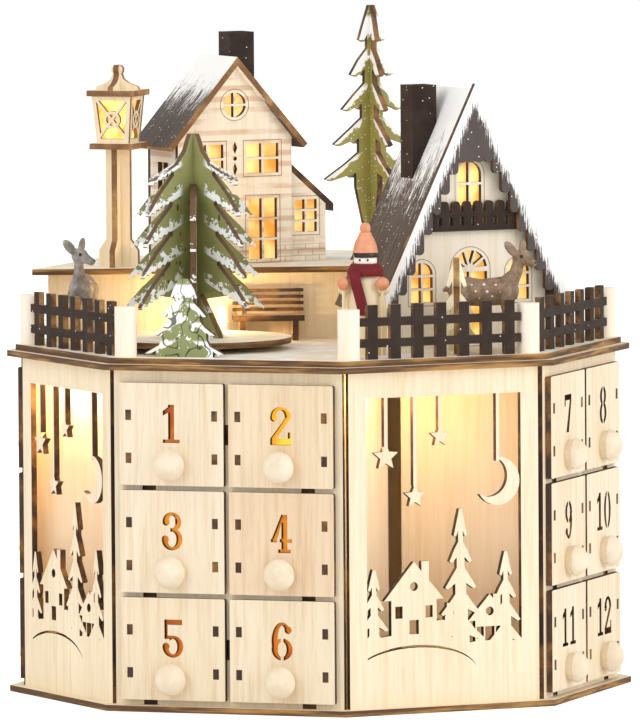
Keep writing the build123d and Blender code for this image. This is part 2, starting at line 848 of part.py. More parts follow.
def small_fir():
    outline = fir_outline(small_fir_height, small_fir_width, small_fir_tiers, trunk_width)
    place = Pos(small_fir_x, small_fir_y, deck_top) * Rot(0, 0, small_fir_turn)
    return [place * board for board in crossed(outline, small_fir_height)]


def front_fir_slots():
    """Two slots in the deck for the tabs of the flat fir."""
    slot = rect(-ply / 2, ply / 2, -ply / 2, ply / 2)
    slot = offset(slot, joint_gap, kind=Kind.INTERSECTION)
    return [Pos(front_fir_x + s * trunk_width, front_fir_y) * slot for s in (-1, 1)]


def front_fir():
    """Flat fir board with two tabs in the deck."""
    outline = fir_outline(front_fir_height, front_fir_width, front_fir_tiers, trunk_width * 2,
                          front_fir_bare, front_fir_notch)
    sheet = mirrored(outline)
    for side in (-1, 1):
        middle = side * trunk_width
        sheet = sheet + rect(middle - ply / 2, middle + ply / 2, -ply, 0)
    return [Pos(front_fir_x, front_fir_y, deck_top) * upright(sheet, ply / 2, 0)]


# Turning plate

def turn_bottom():
    return deck_top + turn_lift


def turning_plate():
    """Round plate, and the pin under it with its keeper collar."""
    plate = flat(Circle(turn_diameter / 2) - Circle(pin_diameter / 2), turn_bottom())
    low = deck_bottom - pin_reach
    pin = flat(Circle(pin_diameter / 2), low, turn_bottom() + ply - low)
    collar = flat(Circle(collar_diameter / 2) - Circle(pin_diameter / 2), low, collar_height)
    return [Pos(turn_x, turn_y) * piece for piece in (plate, pin, collar)]


def turntable_bush():
    """Flanged bush through both top plates."""
    bore = Circle(pin_diameter / 2 + pin_gap)
    sleeve = flat(Circle(bush_diameter / 2) - bore, wall_top, deck_top - wall_top)
    flange = flat(Circle(bush_flange / 2) - bore, deck_top, turn_lift - run_gap)
    return [Pos(turn_x, turn_y) * (sleeve + flange)]


def turning_fir_fall():
    """Height between two tiers."""
    return (turning_fir_height - turning_fir_top) * turning_fir_skirt / (turning_fir_tiers - 1)


def turning_fir_levels():
    """Height and reach of the tips of each tier, from the top down."""
    levels = []
    for tier in range(turning_fir_tiers):
        share = turning_fir_first + (1 - turning_fir_first) * tier / (turning_fir_tiers - 1)
        level = turning_fir_height - turning_fir_top - tier * turning_fir_fall()
        levels.append((level, turning_fir_width / 2 * share))
    return levels


def drooping(levels):
    """Outline of drooping boughs with ragged lower edges, from the top down."""
    points = []
    for level, reach in levels:
        bend = reach * bough_shoulder
        points.append((bend, level + bough_droop * (reach - bend) + turning_fir_fall() * bough_rise))
        points += [(reach, level + bough_blunt), (reach, level)]
        for tooth in range(1, 2 * bough_teeth + 1):
            along = reach * (1 - (1 - bough_root) * tooth / (2 * bough_teeth))
            notch = bough_ragged if tooth % 2 else 0
            points.append((along, level + bough_droop * (reach - along) + notch))
        points.append((along, level + bough_droop * (reach - along) - bough_cut))
    return points[:-1]


def turning_fir_board():
    """Right half of a crossed board: bell top, drooping boughs and a spreading foot."""
    high = turning_fir_height
    half = turning_fir_width / 2
    top = turning_fir_top
    bell = [(0, high), (half * 0.07, high), (half * 0.1, high - top * 0.08)]
    bell += [(half * 0.17, high - top * 0.34), (half * 0.32, high - top * 0.6)]
    boughs = drooping(turning_fir_levels())
    trunk = (turning_trunk / 2, boughs[-1][1] - bough_cut)
    return bell + boughs[1:] + [trunk, (turning_fir_foot / 2, 0), (0, 0)]


def turning_fir_wing():
    """One wing from its straight inner edge, with the boughs of every tier but the first."""
    inner = ply / 2 + (ply / 2 + joint_gap) * math.sqrt(2)
    levels = turning_fir_levels()
    boughs = drooping([(level - wing_shift, reach * wing_share) for level, reach in levels[1:]])
    trunk = (inner + turning_trunk / 4, boughs[-1][1] - bough_cut)
    return polygon((inner, levels[0][0]), *boughs, trunk, (wing_foot, 0), (inner, 0))


def turning_fir():
    """Two crossed boards and a wing in each corner between them."""
    place = Pos(turn_x, turn_y, turn_bottom() + ply) * Rot(0, 0, turning_fir_turn)
    boards = [Rot(0, 0, 45) * board for board in crossed(turning_fir_board(), turning_fir_height)]
    wings = around(upright(turning_fir_wing(), ply / 2, 0))
    return [place * piece for piece in boards + wings]


# Windows

def paned(width, height, across, up, bar=glazing_bar):
    """Window opening divided by glazing bars, centred on the X axis and standing on it."""
    opening = rect(-width / 2, width / 2, 0, height)
    for index in range(1, across):
        middle = -width / 2 + width * index / across
        opening = opening - rect(middle - bar / 2, middle + bar / 2, 0, height)
    for index in range(1, up):
        middle = height * index / up
        opening = opening - rect(-width / 2, width / 2, middle - bar / 2, middle + bar / 2)
    return opening


def arched(width, height, across, up, bar=glazing_bar):
    """Paned window with a round head."""
    spring = height - width / 2
    shape = rect(-width / 2, width / 2, 0, spring) + Pos(0, spring) * Circle(width / 2)
    return paned(width, height, across, up, bar) & shape


def fanlight(width, height, rays=5, bar=glazing_bar):
    """Door opening whose round head is divided by rays."""
    spring = height - width / 2
    head = (Pos(0, spring) * Circle(width / 2)) & rect(-width, width, spring + bar, height)
    for index in range(1, rays):
        angle = 180 * index / rays
        head = head - Pos(0, spring) * Rot(0, 0, angle) * rect(0, width, -bar / 2, bar / 2)
    head = head - Pos(0, spring) * Circle(width * 0.14)
    return head + paned(width, spring - bar, 2, 3, bar)


# Rear house, drawn with its gable facing -Y

def slope_drop(pitch, reach):
    return reach * math.tan(math.radians(pitch))


def roof_panel(apex, pitch, half_span):
    """Profile of the right roof sheet, whose underside starts at the apex."""
    angle = math.radians(pitch)
    low = apex - slope_drop(pitch, half_span)
    ridge = (0, apex + ply / math.cos(angle))
    outer = (half_span + ply * math.sin(angle), low + ply * math.cos(angle))
    return polygon((0, apex), (half_span, low), outer, ridge)


def along_depth(profile, start, end):
    """Piece of constant section along the depth of a building."""
    plane = Plane(origin=(0, start, 0), x_dir=(1, 0, 0), z_dir=(0, -1, 0))
    return extrude(plane * profile, amount=start - end)


def house_place():
    return Pos(house_x, house_y, platform_top_top) * Rot(0, 0, house_turn)


def house_walls():
    half = house_width / 2
    eave = house_apex - slope_drop(house_pitch, half)
    gable = polygon((-half, 0), (half, 0), (half, eave), (0, house_apex), (-half, eave))
    wide = 2 * house_round_window
    panes = Pos(0, -house_round_window) * paned(wide, wide, 2, 2) & Circle(house_round_window)
    openings = [Pos(0, house_round_rise) * panes]
    for side in (-1, 1):
        across = side * house_window_across
        openings.append(Pos(across, house_upper_sill) * paned(house_upper_width, house_upper_height, 2, 2))
        openings.append(Pos(across, house_lower_sill) * paned(house_lower_width, house_lower_height, 2, 3))
    reach = vent_width / 2
    vent = polygon((0, 0), (reach, vent_height / 2), (0, vent_height), (-reach, vent_height / 2))
    openings += [Pos(0, vent_rise) * vent, Pos(0, vent_rise + vent_span - vent_height) * vent]
    openings.append(Pos(0, vent_rise + vent_span / 2) * Circle(vent_dot))
    front = upright(without(gable, *openings), 0, 0)
    back = upright(gable, ply - house_depth, 0)
    side = rect(ply, house_depth - ply, 0, eave)
    window = Pos(house_depth / 2, house_side_sill) * paned(house_side_width, house_side_height, 2, 2)
    left = sideways(side - window, ply - half, 0)
    right = sideways(side, half, 0)
    return [house_place() * wall for wall in (front, back, left, right)]


def house_roof():
    profile = roof_panel(house_apex, house_pitch, house_half_span)
    right = along_depth(profile, -house_overhang, house_depth + house_overhang)
    return [house_place() * right, house_place() * mirror(right, about=Plane.YZ)]


def house_lean_to():
    """Low annexe on the right of the rear house: front, end and back walls and a sloping roof."""
    half = house_width / 2
    outer = half + lean_width
    front_shape = polygon((half, 0), (outer, 0), (outer, lean_low), (half, lean_high))
    place = Pos(half + lean_width * lean_window_share, lean_window_sill)
    window = place * paned(lean_window_width, lean_window_height, 2, 3)
    start = ply + joint_gap
    front = upright(front_shape - window, -start, 0)
    back = upright(front_shape, ply - lean_depth - start, 0)
    end = sideways(rect(start + ply, start + lean_depth - ply, 0, lean_low), outer, 0)
    fall = (lean_high - lean_low) / lean_width
    reach = lean_width + lean_overhang
    lift = ply * math.hypot(1, fall)
    roof_shape = polygon((half, lean_high), (half + reach, lean_high - fall * reach),
                         (half + reach, lean_high - fall * reach + lift), (half, lean_high + lift))
    roof = along_depth(roof_shape, start, start + lean_depth + lean_overhang)
    end = end - along_depth(roof_shape, 0, start + lean_depth)
    return [house_place() * piece for piece in (front, back, end, roof)]


def chimney(apex, pitch, across, top, depth_place):
    """Square chimney standing on a roof: its foot is cut to the slopes, its top is hollow."""
    half = chimney_side / 2
    ridge = apex + ply / math.cos(math.radians(pitch))

    def surface(x):
        return ridge - slope_drop(pitch, abs(x))

    foot = [(across - half, surface(across - half)), (across + half, surface(across + half))]
    if across - half < 0 < across + half:
        foot.insert(1, (0, ridge))
    profile = polygon(*foot, (across + half, top), (across - half, top))
    stack = along_depth(profile, depth_place - half, depth_place + half)
    bore = half - chimney_wall
    low = top - chimney_recess
    flue = block(across - bore, across + bore, depth_place - bore, depth_place + bore, low, top)
    return stack - flue


def chimneys():
    ridge = house_apex + ply / math.cos(math.radians(house_pitch))
    top = ridge + house_chimney_rise
    house = chimney(house_apex, house_pitch, house_chimney_x, top, house_depth * house_chimney_share)
    top = chalet_apex + chalet_chimney_rise
    chalet = chimney(chalet_apex, chalet_pitch, chalet_chimney_x, top, chalet_chimney_y)
    return [house_place() * house, chalet_place() * chalet]


# Chalet, drawn with its gable facing -Y

def chalet_place():
    return Pos(chalet_x, chalet_y, deck_top) * Rot(0, 0, chalet_turn)


def chalet_gable():
    half = chalet_width / 2
    eave = chalet_apex - slope_drop(chalet_pitch, half)
    return polygon((-half, 0), (half, 0), (half, eave), (0, chalet_apex), (-half, eave)), eave


def chalet_walls():
    half = chalet_width / 2
    gable, eave = chalet_gable()
    openings = [Pos(0, chalet_loft_sill) * arched(chalet_loft_width, chalet_loft_height, 2, 2),
                Pos(0, chalet_door_sill) * fanlight(chalet_door_width, chalet_door_height)]
    window = Pos(0, chalet_window_sill) * arched(chalet_window_width, chalet_window_height, 2, 3)
    openings += [Pos(s * chalet_window_across, 0) * window for s in (-1, 1)]
    front = upright(without(gable, *openings), 0, 0)
    back = upright(gable, ply - chalet_depth, 0)
    side = rect(ply, chalet_depth - ply, 0, eave)
    left = sideways(side, ply - half, 0)
    right = sideways(side, half, 0)
    return [chalet_place() * wall for wall in (front, back, left, right)]


def chalet_roof():
    profile = roof_panel(chalet_apex, chalet_pitch, chalet_half_span)
    right = along_depth(profile, -chalet_overhang, chalet_depth)
    return [chalet_place() * right, chalet_place() * mirror(right, about=Plane.YZ)]


def chalet_fascia():
    """Stepped board on the front edges of the roof: a row of round-ended tongues on each slope."""
    angle = math.radians(chalet_pitch)
    top = chalet_apex + ply / math.cos(angle) + fascia_reach
    half = chalet_half_span + ply * math.sin(angle)
    low = top - slope_drop(chalet_pitch, half)
    tongue = half / (fascia_steps + 1)
    tongues = []
    for index in range(fascia_steps + 1):
        middle = tongue * (index + 0.5)
        depth = fascia_peak if index < fascia_crown else slope_drop(chalet_pitch, middle) + fascia_drop
        level = top - depth
        for side in (-1, 1):
            strip = rect(side * middle - tongue / 2, side * middle + tongue / 2, level, top)
            tongues.append(strip + Pos(side * middle, level) * Circle(tongue / 2))
    board = (Sketch() + tongues) & polygon((0, top), (half, low), (half, 0), (-half, 0), (-half, low))
    board = board - rect(-half, half, 0, low - fascia_drop * fascia_foot)
    return [chalet_place() * upright(board, chalet_overhang + ply, 0)]


def chalet_balcony():
    """Picket rail and the floor that holds it off the gable."""
    half = balcony_width / 2
    rail = rect(-half, half, 0, ply) + rect(-half, half, balcony_height - 2 * ply, balcony_height - ply)
    pitch = balcony_width / balcony_pickets
    reach = pitch * balcony_picket_share / 2
    for index in range(balcony_pickets):
        middle = -half + pitch * (index + 0.5)
        picket = rect(middle - reach, middle + reach, 0, balcony_height)
        rail = rail + picket + Pos(middle, balcony_height) * Circle(reach)
    front = upright(rail, chalet_overhang, balcony_floor)
    floor = block(-half + ply, half - ply, ply - chalet_overhang, 0, balcony_floor, balcony_floor + ply)
    return [chalet_place() * front, chalet_place() * floor]


# Street lamp

def lamp_place():
    return Pos(lamp_x, lamp_y, platform_top_top)


def lamp_post():
    """Two crossed boards with flared feet."""
    shoulder = lamp_foot_height
    outline = [(0, lamp_height), (lamp_board / 2, lamp_height), (lamp_board / 2, shoulder),
               (lamp_foot / 2, shoulder * 0.6), (lamp_foot / 2, 0), (0, 0)]
    return [lamp_place() * board for board in crossed(outline, lamp_height)]


def lantern_panel(low, high):
    """Tapered lantern side with a crossed opening round a ring."""
    rim = lantern_rim
    shape = polygon((-low / 2, 0), (low / 2, 0), (high / 2, lantern_height), (-high / 2, lantern_height))
    opening = polygon((rim - low / 2, rim), (low / 2 - rim, rim), (high / 2 - rim, lantern_height - rim),
                      (rim - high / 2, lantern_height - rim))
    slant = math.degrees(math.atan2(lantern_height, (low + high) / 2))
    middle = Pos(0, lantern_height / 2)
    cross = [middle * Rot(0, 0, s * slant) * Rectangle(2 * lantern_height, lantern_bar) for s in (-1, 1)]
    ring = middle * (Circle(lantern_ring) - Circle(lantern_ring_bore))
    return shape - without(opening, *cross, ring)


def lantern():
    """Tray, four leaning fretted sides, lid and a crossed cap on the lamp post."""
    tray = flat(Rectangle(lantern_tray, lantern_tray), lamp_height)
    base = lamp_height + ply
    lean = math.degrees(math.atan2((lantern_high - lantern_low) / 2, lantern_height))
    panel = upright(lantern_panel(lantern_low, lantern_high), 0, 0, lantern_sheet)
    inset = 2 * lantern_sheet + 2 * joint_gap
    narrow = upright(lantern_panel(lantern_low - inset, lantern_high - inset), 0, 0, lantern_sheet)
    headroom = lantern_height * math.cos(math.radians(lean))
    room = block(-lantern_lid, lantern_lid, -lantern_lid, lantern_lid, base, base + headroom - joint_gap)
    stand = Pos(0, -lantern_low / 2, base) * Rot(lean, 0, 0)
    sides = [Rot(0, 0, 90 * turn) * stand * (panel if turn % 2 == 0 else narrow) for turn in range(4)]
    sides = [side & room for side in sides]
    lid = flat(Rectangle(lantern_lid, lantern_lid), base + headroom)
    cap_low = base + headroom + ply
    wide = lantern_lid
    ball = [(0, lantern_cap), (wide * 0.07, lantern_cap), (wide * 0.12, lantern_cap * 0.88)]
    ball += [(wide * 0.12, lantern_cap * 0.76), (wide * 0.09, lantern_cap * 0.64)]
    skirt = [(wide * 0.13, lantern_cap * 0.44), (wide * 0.24, lantern_cap * 0.28)]
    skirt += [(wide * 0.44, lantern_cap * 0.14), (wide * 0.46, 0), (0, 0)]
    cap = [Pos(0, 0, cap_low) * board for board in crossed(ball + skirt, lantern_cap)]
    return [lamp_place() * piece for piece in (tray, *sides, lid, *cap)]


# Bench

def bench():
    """Seat on two arched ends, with a slatted back on two uprights."""
    half = bench_length / 2
    seat = block(-half, half, -bench_depth / 2, bench_depth / 2, bench_seat - ply, bench_seat)
    end_shape = rect(-bench_depth / 2 + 1, bench_depth / 2 - 1, 0, bench_seat - ply)
    end_shape = end_shape - Circle(bench_depth * bench_arch)
    ends = [sideways(end_shape, x + ply / 2, 0) for x in (ply * 1.5 - half, half - ply * 1.5)]
    rear = bench_depth / 2
    posts = [block(x - ply / 2, x + ply / 2, rear - ply, rear, bench_seat, bench_back)
             for x in (ply - half, half - ply)]
    slat = (bench_back - bench_seat) / (2 * bench_slats)
    slats = [block(-half, half, rear - ply - ply / 2, rear - ply, level, level + slat)
             for level in [bench_seat + slat * (2 * index + 1) for index in range(bench_slats)]]
    place = Pos(bench_x, bench_y, deck_top) * Rot(0, 0, bench_turn)
    return [place * piece for piece in (seat, *ends, *posts, *slats)]


# Figures

def deer(height):
    """Standing deer facing +X, one cast piece."""
    leg = height * 0.42
    back = height * 0.52
    body_half = height * 0.31
    girth = height * 0.145
    trunk = body_half - girth
    body = limb((-trunk, 0, back), (trunk, 0, back), girth, girth * 0.94)
    body = body + Pos(-trunk, 0, back) * Sphere(girth)
    neck_low = (body_half * 0.7, 0, back + girth * 0.3)
    neck_high = (body_half * 1.05, 0, height * 0.82)
    neck = limb(neck_low, neck_high, girth * 0.72, girth * 0.52)
    nose = limb(neck_high, (body_half * 1.62, 0, height * 0.79), girth * 0.55, girth * 0.3)
    hoof = height * 0.024
    animal = body + neck + nose
    for side in (-1, 1):
        ear_low = (body_half * 0.98, side * girth * 0.19, height * 0.84)
        ear_high = (body_half * 0.82, side * girth * 0.58, height * 0.97)
        animal = animal + limb(ear_low, ear_high, girth * 0.19, girth * 0.09)
        for end in (-1, 1):
            along = end * body_half * 0.62
            across = side * girth * 0.5
            animal = animal + limb((along, across, leg), (along, across, hoof), hoof * 1.6, hoof)
    return animal


def deer_pair():
    right = Pos(right_deer_x, right_deer_y, deck_top) * Rot(0, 0, right_deer_turn) * deer(deer_height)
    left = Pos(left_deer_x, left_deer_y, deck_top) * Rot(0, 0, left_deer_turn) * deer(deer_height)
    return [right, left]


def doll_place():
    return Pos(doll_x, doll_y, deck_top) * Rot(0, 0, doll_turn)


def doll_core():
    """Turned body and head."""
    body = turned((0, 0), (doll_body_radius * 0.92, 0), (doll_body_radius, doll_body_height * 0.3),
                  (doll_body_radius * 0.86, doll_body_height * 0.82), (doll_neck_radius, doll_body_height),
                  (0, doll_body_height))
    head = Pos(0, 0, doll_body_height + doll_head_radius * 0.9) * Sphere(doll_head_radius)
    return body, head - body


def doll():
    """Turned wooden doll: body, head, hat with bobble, arms, hands and two poles."""
    body, head = doll_core()
    brim = doll_body_height + doll_head_radius * 1.2
    rim = doll_head_radius * 1.05
    hat = turned((0, brim), (rim, brim), (rim, brim + doll_hat_band),
                 (doll_bobble, brim + doll_hat_height), (0, brim + doll_hat_height)) - head
    bobble = Pos(0, 0, brim + doll_hat_height + doll_bobble * 0.7) * Sphere(doll_bobble) - hat
    shoulder = doll_body_height * 0.86
    grip = (doll_body_radius * 0.92, -doll_body_radius * 0.75, shoulder)
    pieces = [body, head, hat, bobble]
    for side in (-1, 1):
        centre = (side * grip[0], grip[1], grip[2])
        hand = Pos(*centre) * Sphere(doll_hand)
        pole = Cylinder(doll_pole / 2, shoulder - doll_hand, align=foot_up)
        pole = Pos(centre[0], centre[1], 0) * pole
        joint = (side * doll_body_radius * 0.7, 0, shoulder - doll_arm * 0.3)
        wrist = (side * grip[0], grip[1] * 0.7, shoulder - doll_arm * 0.9)
        arm = limb(joint, wrist, doll_arm, doll_arm * 0.9)
        pieces += [hand - pole, without(arm, body, head, hand, pole), without(pole, body)]
    return [doll_place() * piece for piece in pieces]


def doll_scarf():
    """Felt scarf: a wrapped collar and one hanging tail."""
    body, head = doll_core()
    low = doll_body_height - scarf_width * 0.35
    collar = turned((0, low), (doll_neck_radius + scarf_thickness * 1.6, low),
                    (doll_neck_radius + scarf_thickness * 1.6, low + scarf_width), (0, low + scarf_width))
    collar = without(collar, body, head)
    left = -scarf_width / 2 - scarf_shift
    right = scarf_width / 2 - scarf_shift
    rear = -doll_body_radius - scarf_gap
    middle = low + scarf_width / 2
    tail = block(left, right, rear - scarf_thickness, rear, low - scarf_tail, middle)
    link = block(left, right, rear, 0, low + scarf_width / 5, middle)
    return [doll_place() * without(collar + tail + link, body, head)]


# Lamps, cells and switch

def led():
    """Lamp standing on the XY plane: short body with a round head."""
    radius = led_diameter / 2
    body = Cylinder(radius, led_length - radius, align=foot_up)
    return body + Pos(0, 0, led_length - radius) * Sphere(radius)


def led_lamps():
    """Lamps in the four scene pockets, both houses and the lantern, and one on a deck post."""
    hanging = Pos(rack_half + led_diameter, pocket_led_depth - frame_back, wall_top) * Rot(180, 0, 0) * led()
    lamps = around(hanging)
    lamps.append(house_place() * Pos(0, house_depth / 2, 0) * led())
    lamps.append(chalet_place() * Pos(0, chalet_depth / 2, 0) * led())
    lamps.append(lamp_place() * Pos(0, 0, lamp_height + ply) * led())
    post = Cylinder(led_post_diameter / 2, led_post_height, align=foot_up)
    lamps.append(Pos(led_post_x, led_post_y, deck_top) * (post + Pos(0, 0, led_post_height) * led()))
    return lamps


def holder_size():
    """Outside length and depth of the two-cell holder."""
    return cell_length + 2 * (holder_wall + cell_gap), 2 * cell_diameter + 3 * cell_gap + 2 * holder_wall


def switch_front():
    return holder_y + holder_size()[1] / 2 + 2 * slider_reach


def battery_holder():
    """Open tray for two cells with a switch housing on its rear side."""
    length, depth = holder_size()
    tall = cell_diameter + holder_wall
    tray = block(-length / 2, length / 2, -depth / 2, depth / 2, 0, tall)
    inner_half = length / 2 - holder_wall
    inner_depth = depth / 2 - holder_wall
    room = block(-inner_half, inner_half, -inner_depth, inner_depth, holder_wall, tall)
    tray = Pos(0, holder_y, deck_top) * (tray - room)
    rear = holder_y + depth / 2
    level = deck_top + tall / 2
    housing = block(-switch_body / 2, switch_body / 2, rear, switch_front(),
                    level - 2 * slider_height, level + 2 * slider_height)
    half = (slider_width + switch_travel) / 2 + slider_gap
    slot = block(-half, half, switch_front() - slider_reach, switch_front(),
                 level - slider_height / 2 - slider_gap, level + slider_height / 2 + slider_gap)
    return [tray, housing - slot]


def battery_cells():
    offset = (cell_diameter + cell_gap) / 2
    level = deck_top + holder_wall + cell_diameter / 2
    body = Rot(0, 90, 0) * Cylinder(cell_diameter / 2, cell_length)
    return [Pos(0, holder_y + s * offset, level) * body for s in (-1, 1)]


def power_switch():
    """Switch slider at its off end."""
    tall = cell_diameter + holder_wall
    level = deck_top + tall / 2
    left = -(slider_width + switch_travel) / 2
    front = switch_front()
    return block(left, left + slider_width, front - slider_reach + slider_gap, front + slider_reach,
                 level - slider_height / 2, level + slider_height / 2)


def main():
    os.makedirs("parts", exist_ok=True)
    for number in range(1, rows * columns * faces + 1):
        save(f"drawer_{number:02d}", drawer(number))
    save("base_plate", [base_plate()])
    save("carcass_top", [carcass_top()])
    save("snow_deck", [snow_deck()])
    save("face_frames", around(face_frame()))
    save("scene_panels", around(scene_panel(), 45))
    save("rack_walls", [copy for wall in rack_walls() for copy in around(wall)])
    save("drawer_shelves", [copy for row in range(rows) for copy in around(shelf(row))])
    save("drawer_dividers", around(divider()))
    save("platform_walls", platform_walls())
    save("platform_top", [platform_top()])
    save("house_walls", house_walls())
    save("house_roof", house_roof())
    save("house_lean_to", house_lean_to())
    save("chimneys", chimneys())
    save("chalet_walls", chalet_walls())
    save("chalet_roof", chalet_roof())
    save("chalet_fascia", chalet_fascia())
    save("chalet_balcony", chalet_balcony())
    save("lamp_post", lamp_post())
    save("lantern", lantern())
    save("tall_fir", tall_fir())
    save("small_fir", small_fir())
    save("front_fir", front_fir())
    save("turning_plate", turning_plate())
    save("turning_fir", turning_fir())
    save("turntable_bush", turntable_bush())
    save("fence_posts", fence_posts())
    save("fence_panels", fence_panels())
    save("bench", bench())
    save("deer_pair", deer_pair())
    save("doll", doll())
    save("doll_scarf", doll_scarf())
    save("led_lamps", led_lamps())
    save("battery_holder", battery_holder())
    save("battery_cells", battery_cells())
    save("power_switch", [power_switch()])


main()
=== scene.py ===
"""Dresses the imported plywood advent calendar.

Meshes are drawn in millimetres in the calendar's own frame and scaled to metres when they are finished.
The base underside is at z = 0, drawers 1 to 6 face -Y and drawers 7 to 12 face +X.
"""
from __future__ import annotations

import logging
import math
import random
from collections.abc import Callable, Sequence
from dataclasses import dataclass
from enum import Enum
from typing import Any

import bmesh
import bpy
from mathutils import Matrix, Vector
from mathutils.bvhtree import BVHTree

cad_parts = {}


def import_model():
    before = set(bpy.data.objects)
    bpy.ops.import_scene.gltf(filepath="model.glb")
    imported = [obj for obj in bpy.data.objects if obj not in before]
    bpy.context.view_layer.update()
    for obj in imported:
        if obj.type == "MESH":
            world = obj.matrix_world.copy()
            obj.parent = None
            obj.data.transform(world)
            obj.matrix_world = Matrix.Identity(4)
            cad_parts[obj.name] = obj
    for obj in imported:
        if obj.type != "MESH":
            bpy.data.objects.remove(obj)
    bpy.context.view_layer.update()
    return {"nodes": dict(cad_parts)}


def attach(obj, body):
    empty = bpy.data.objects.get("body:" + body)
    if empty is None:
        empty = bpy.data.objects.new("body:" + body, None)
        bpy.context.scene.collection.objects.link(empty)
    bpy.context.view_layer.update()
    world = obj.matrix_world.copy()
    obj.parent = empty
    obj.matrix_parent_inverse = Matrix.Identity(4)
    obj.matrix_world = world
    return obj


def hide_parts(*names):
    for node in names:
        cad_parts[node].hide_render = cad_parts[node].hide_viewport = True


LOG = logging.getLogger("calendar")
MM = 0.001
PLY = 3.0
DECK = 176.0
PLATFORM = 213.0
FILM = 0.3
BEHIND = 0.1
CARCASS = "carcass"

Colour = tuple[float, float, float, float]
Socket = bpy.types.NodeSocket
Material = bpy.types.Material


def tone(code: str) -> Colour:
    """Linear colour of a screen colour.

    Args:
        code: six hexadecimal digits.

    Returns:
        Red, green, blue and an alpha of one.
    """
    parts = [int(code[i:i + 2], 16) / 255 for i in (0, 2, 4)]
    linear = [p / 12.92 if p <= 0.04045 else ((p + 0.055) / 1.055) ** 2.4 for p in parts]
    return linear[0], linear[1], linear[2], 1.0


class Grain(Enum):
    """Direction in which the sheet's grain runs, as stretch factors of the pattern."""

    UPRIGHT = (1.0, 1.0, 0.05)
    LYING = (0.05, 1.0, 1.0)


class Graph:
    """Adds and links shader nodes in one tree."""

    def __init__(self, tree: bpy.types.NodeTree) -> None:
        """Keep the tree that the nodes go into."""
        self.tree = tree

    def add(self, kind: str, inputs: dict[Any, Any] | None = None, **settings: Any) -> bpy.types.Node:
        """Add one node.

        Args:
            kind: node type without its ShaderNode prefix.
            inputs: sockets to link and values to set, by socket name or place.
            settings: attributes of the node itself.

        Returns:
            The new node.
        """
        node = self.tree.nodes.new("ShaderNode" + kind)
        for key, value in settings.items():
            setattr(node, key, value)
        for key, value in (inputs or {}).items():
            if isinstance(value, Socket):
                self.tree.links.new(value, node.inputs[key])
            else:
                node.inputs[key].default_value = value
        return node

    def math(self, operation: str, first: Any, second: Any = 0.0, third: Any = 0.0) -> Socket:
        """Result of one arithmetic step on sockets or numbers."""
        return self.add("Math", {0: first, 1: second, 2: third}, operation=operation).outputs[0]

    def times(self, first: Any, second: Any) -> Socket:
        """Product of two values."""
        return self.math("MULTIPLY", first, second)

    def minus(self, first: Any, second: Any) -> Socket:
        """Difference of two values."""
        return self.math("SUBTRACT", first, second)

    def scaled(self, value: Any, factor: Any, offset: Any) -> Socket:
        """Value times a factor, plus an offset."""
        return self.math("MULTIPLY_ADD", value, factor, offset)

    def most(self, first: Any, second: Any) -> Socket:
        """Greater of two values."""
        return self.math("MAXIMUM", first, second)

    def below(self, value: Any, limit: Any) -> Socket:
        """One where a value is under a limit, else zero."""
        return self.math("LESS_THAN", value, limit)

    def length(self, x: Any, y: Any) -> Socket:
        """Length of a flat vector."""
        return self.math("SQRT", self.math("ADD", self.math("POWER", x, 2.0), self.math("POWER", y, 2.0)))

    def link(self, value: Socket, target: Socket) -> None:
        """Link two sockets."""
        self.tree.links.new(value, target)

    def mix(self, factor: Any, first: Any, second: Any) -> Socket:
        """Colour between two colours, each a socket or six hexadecimal digits."""
        first, second = (tone(side) if isinstance(side, str) else side for side in (first, second))
        return self.add("Mix", {0: factor, 6: first, 7: second}, data_type="RGBA").outputs[2]

    def step(self, value: Any, low: float, high: float) -> Socket:
        """Smooth step from zero at low to one at high."""
        inputs = {0: value, 1: low, 2: high, 3: 0.0, 4: 1.0}
        return self.add("MapRange", inputs, interpolation_type="SMOOTHSTEP").outputs[0]

    def noise(self, vector: Socket, scale: float, detail: float = 3.0, rough: float = 0.5) -> Socket:
        """Grey noise at a place."""
        inputs = {"Vector": vector, "Scale": scale, "Detail": detail, "Roughness": rough}
        return self.add("TexNoise", inputs).outputs[0]

    def stretch(self, vector: Socket, scale: Sequence[float]) -> Socket:
        """Pattern coordinates scaled along each axis."""
        return self.add("Mapping", {"Vector": vector, "Scale": scale}).outputs[0]

    def parts(self, vector: Socket) -> list[Socket]:
        """The three coordinates of a vector."""
        return list(self.add("SeparateXYZ", {0: vector}).outputs)

    def joined(self, x: Any, y: Any, z: Any = 0.0) -> Socket:
        """Vector of three coordinates."""
        return self.add("CombineXYZ", {0: x, 1: y, 2: z}).outputs[0]


def group(name: str, inputs: dict[str, str], outputs: dict[str, str]) -> tuple[Graph, dict, dict, bool]:
    """Start a shared shader group, or find it.

    Args:
        name: name of the group.
        inputs: socket type by input name.
        outputs: socket type by output name.

    Returns:
        The graph, its input sockets, its output sockets, and whether it is new.
    """
    tree = bpy.data.node_groups.get(name)
    fresh = tree is None
    if fresh:
        tree = bpy.data.node_groups.new(name, "ShaderNodeTree")
        for label, kind in inputs.items():
            tree.interface.new_socket(label, in_out="INPUT", socket_type="NodeSocket" + kind)
        for label, kind in outputs.items():
            tree.interface.new_socket(label, in_out="OUTPUT", socket_type="NodeSocket" + kind)
        tree.nodes.new("NodeGroupInput")
        tree.nodes.new("NodeGroupOutput")
    source = next(n for n in tree.nodes if n.bl_idname == "NodeGroupInput")
    sink = next(n for n in tree.nodes if n.bl_idname == "NodeGroupOutput")
    take = {socket.name: socket for socket in source.outputs if socket.name}
    give = {socket.name: socket for socket in sink.inputs if socket.name}
    return Graph(tree), take, give, fresh


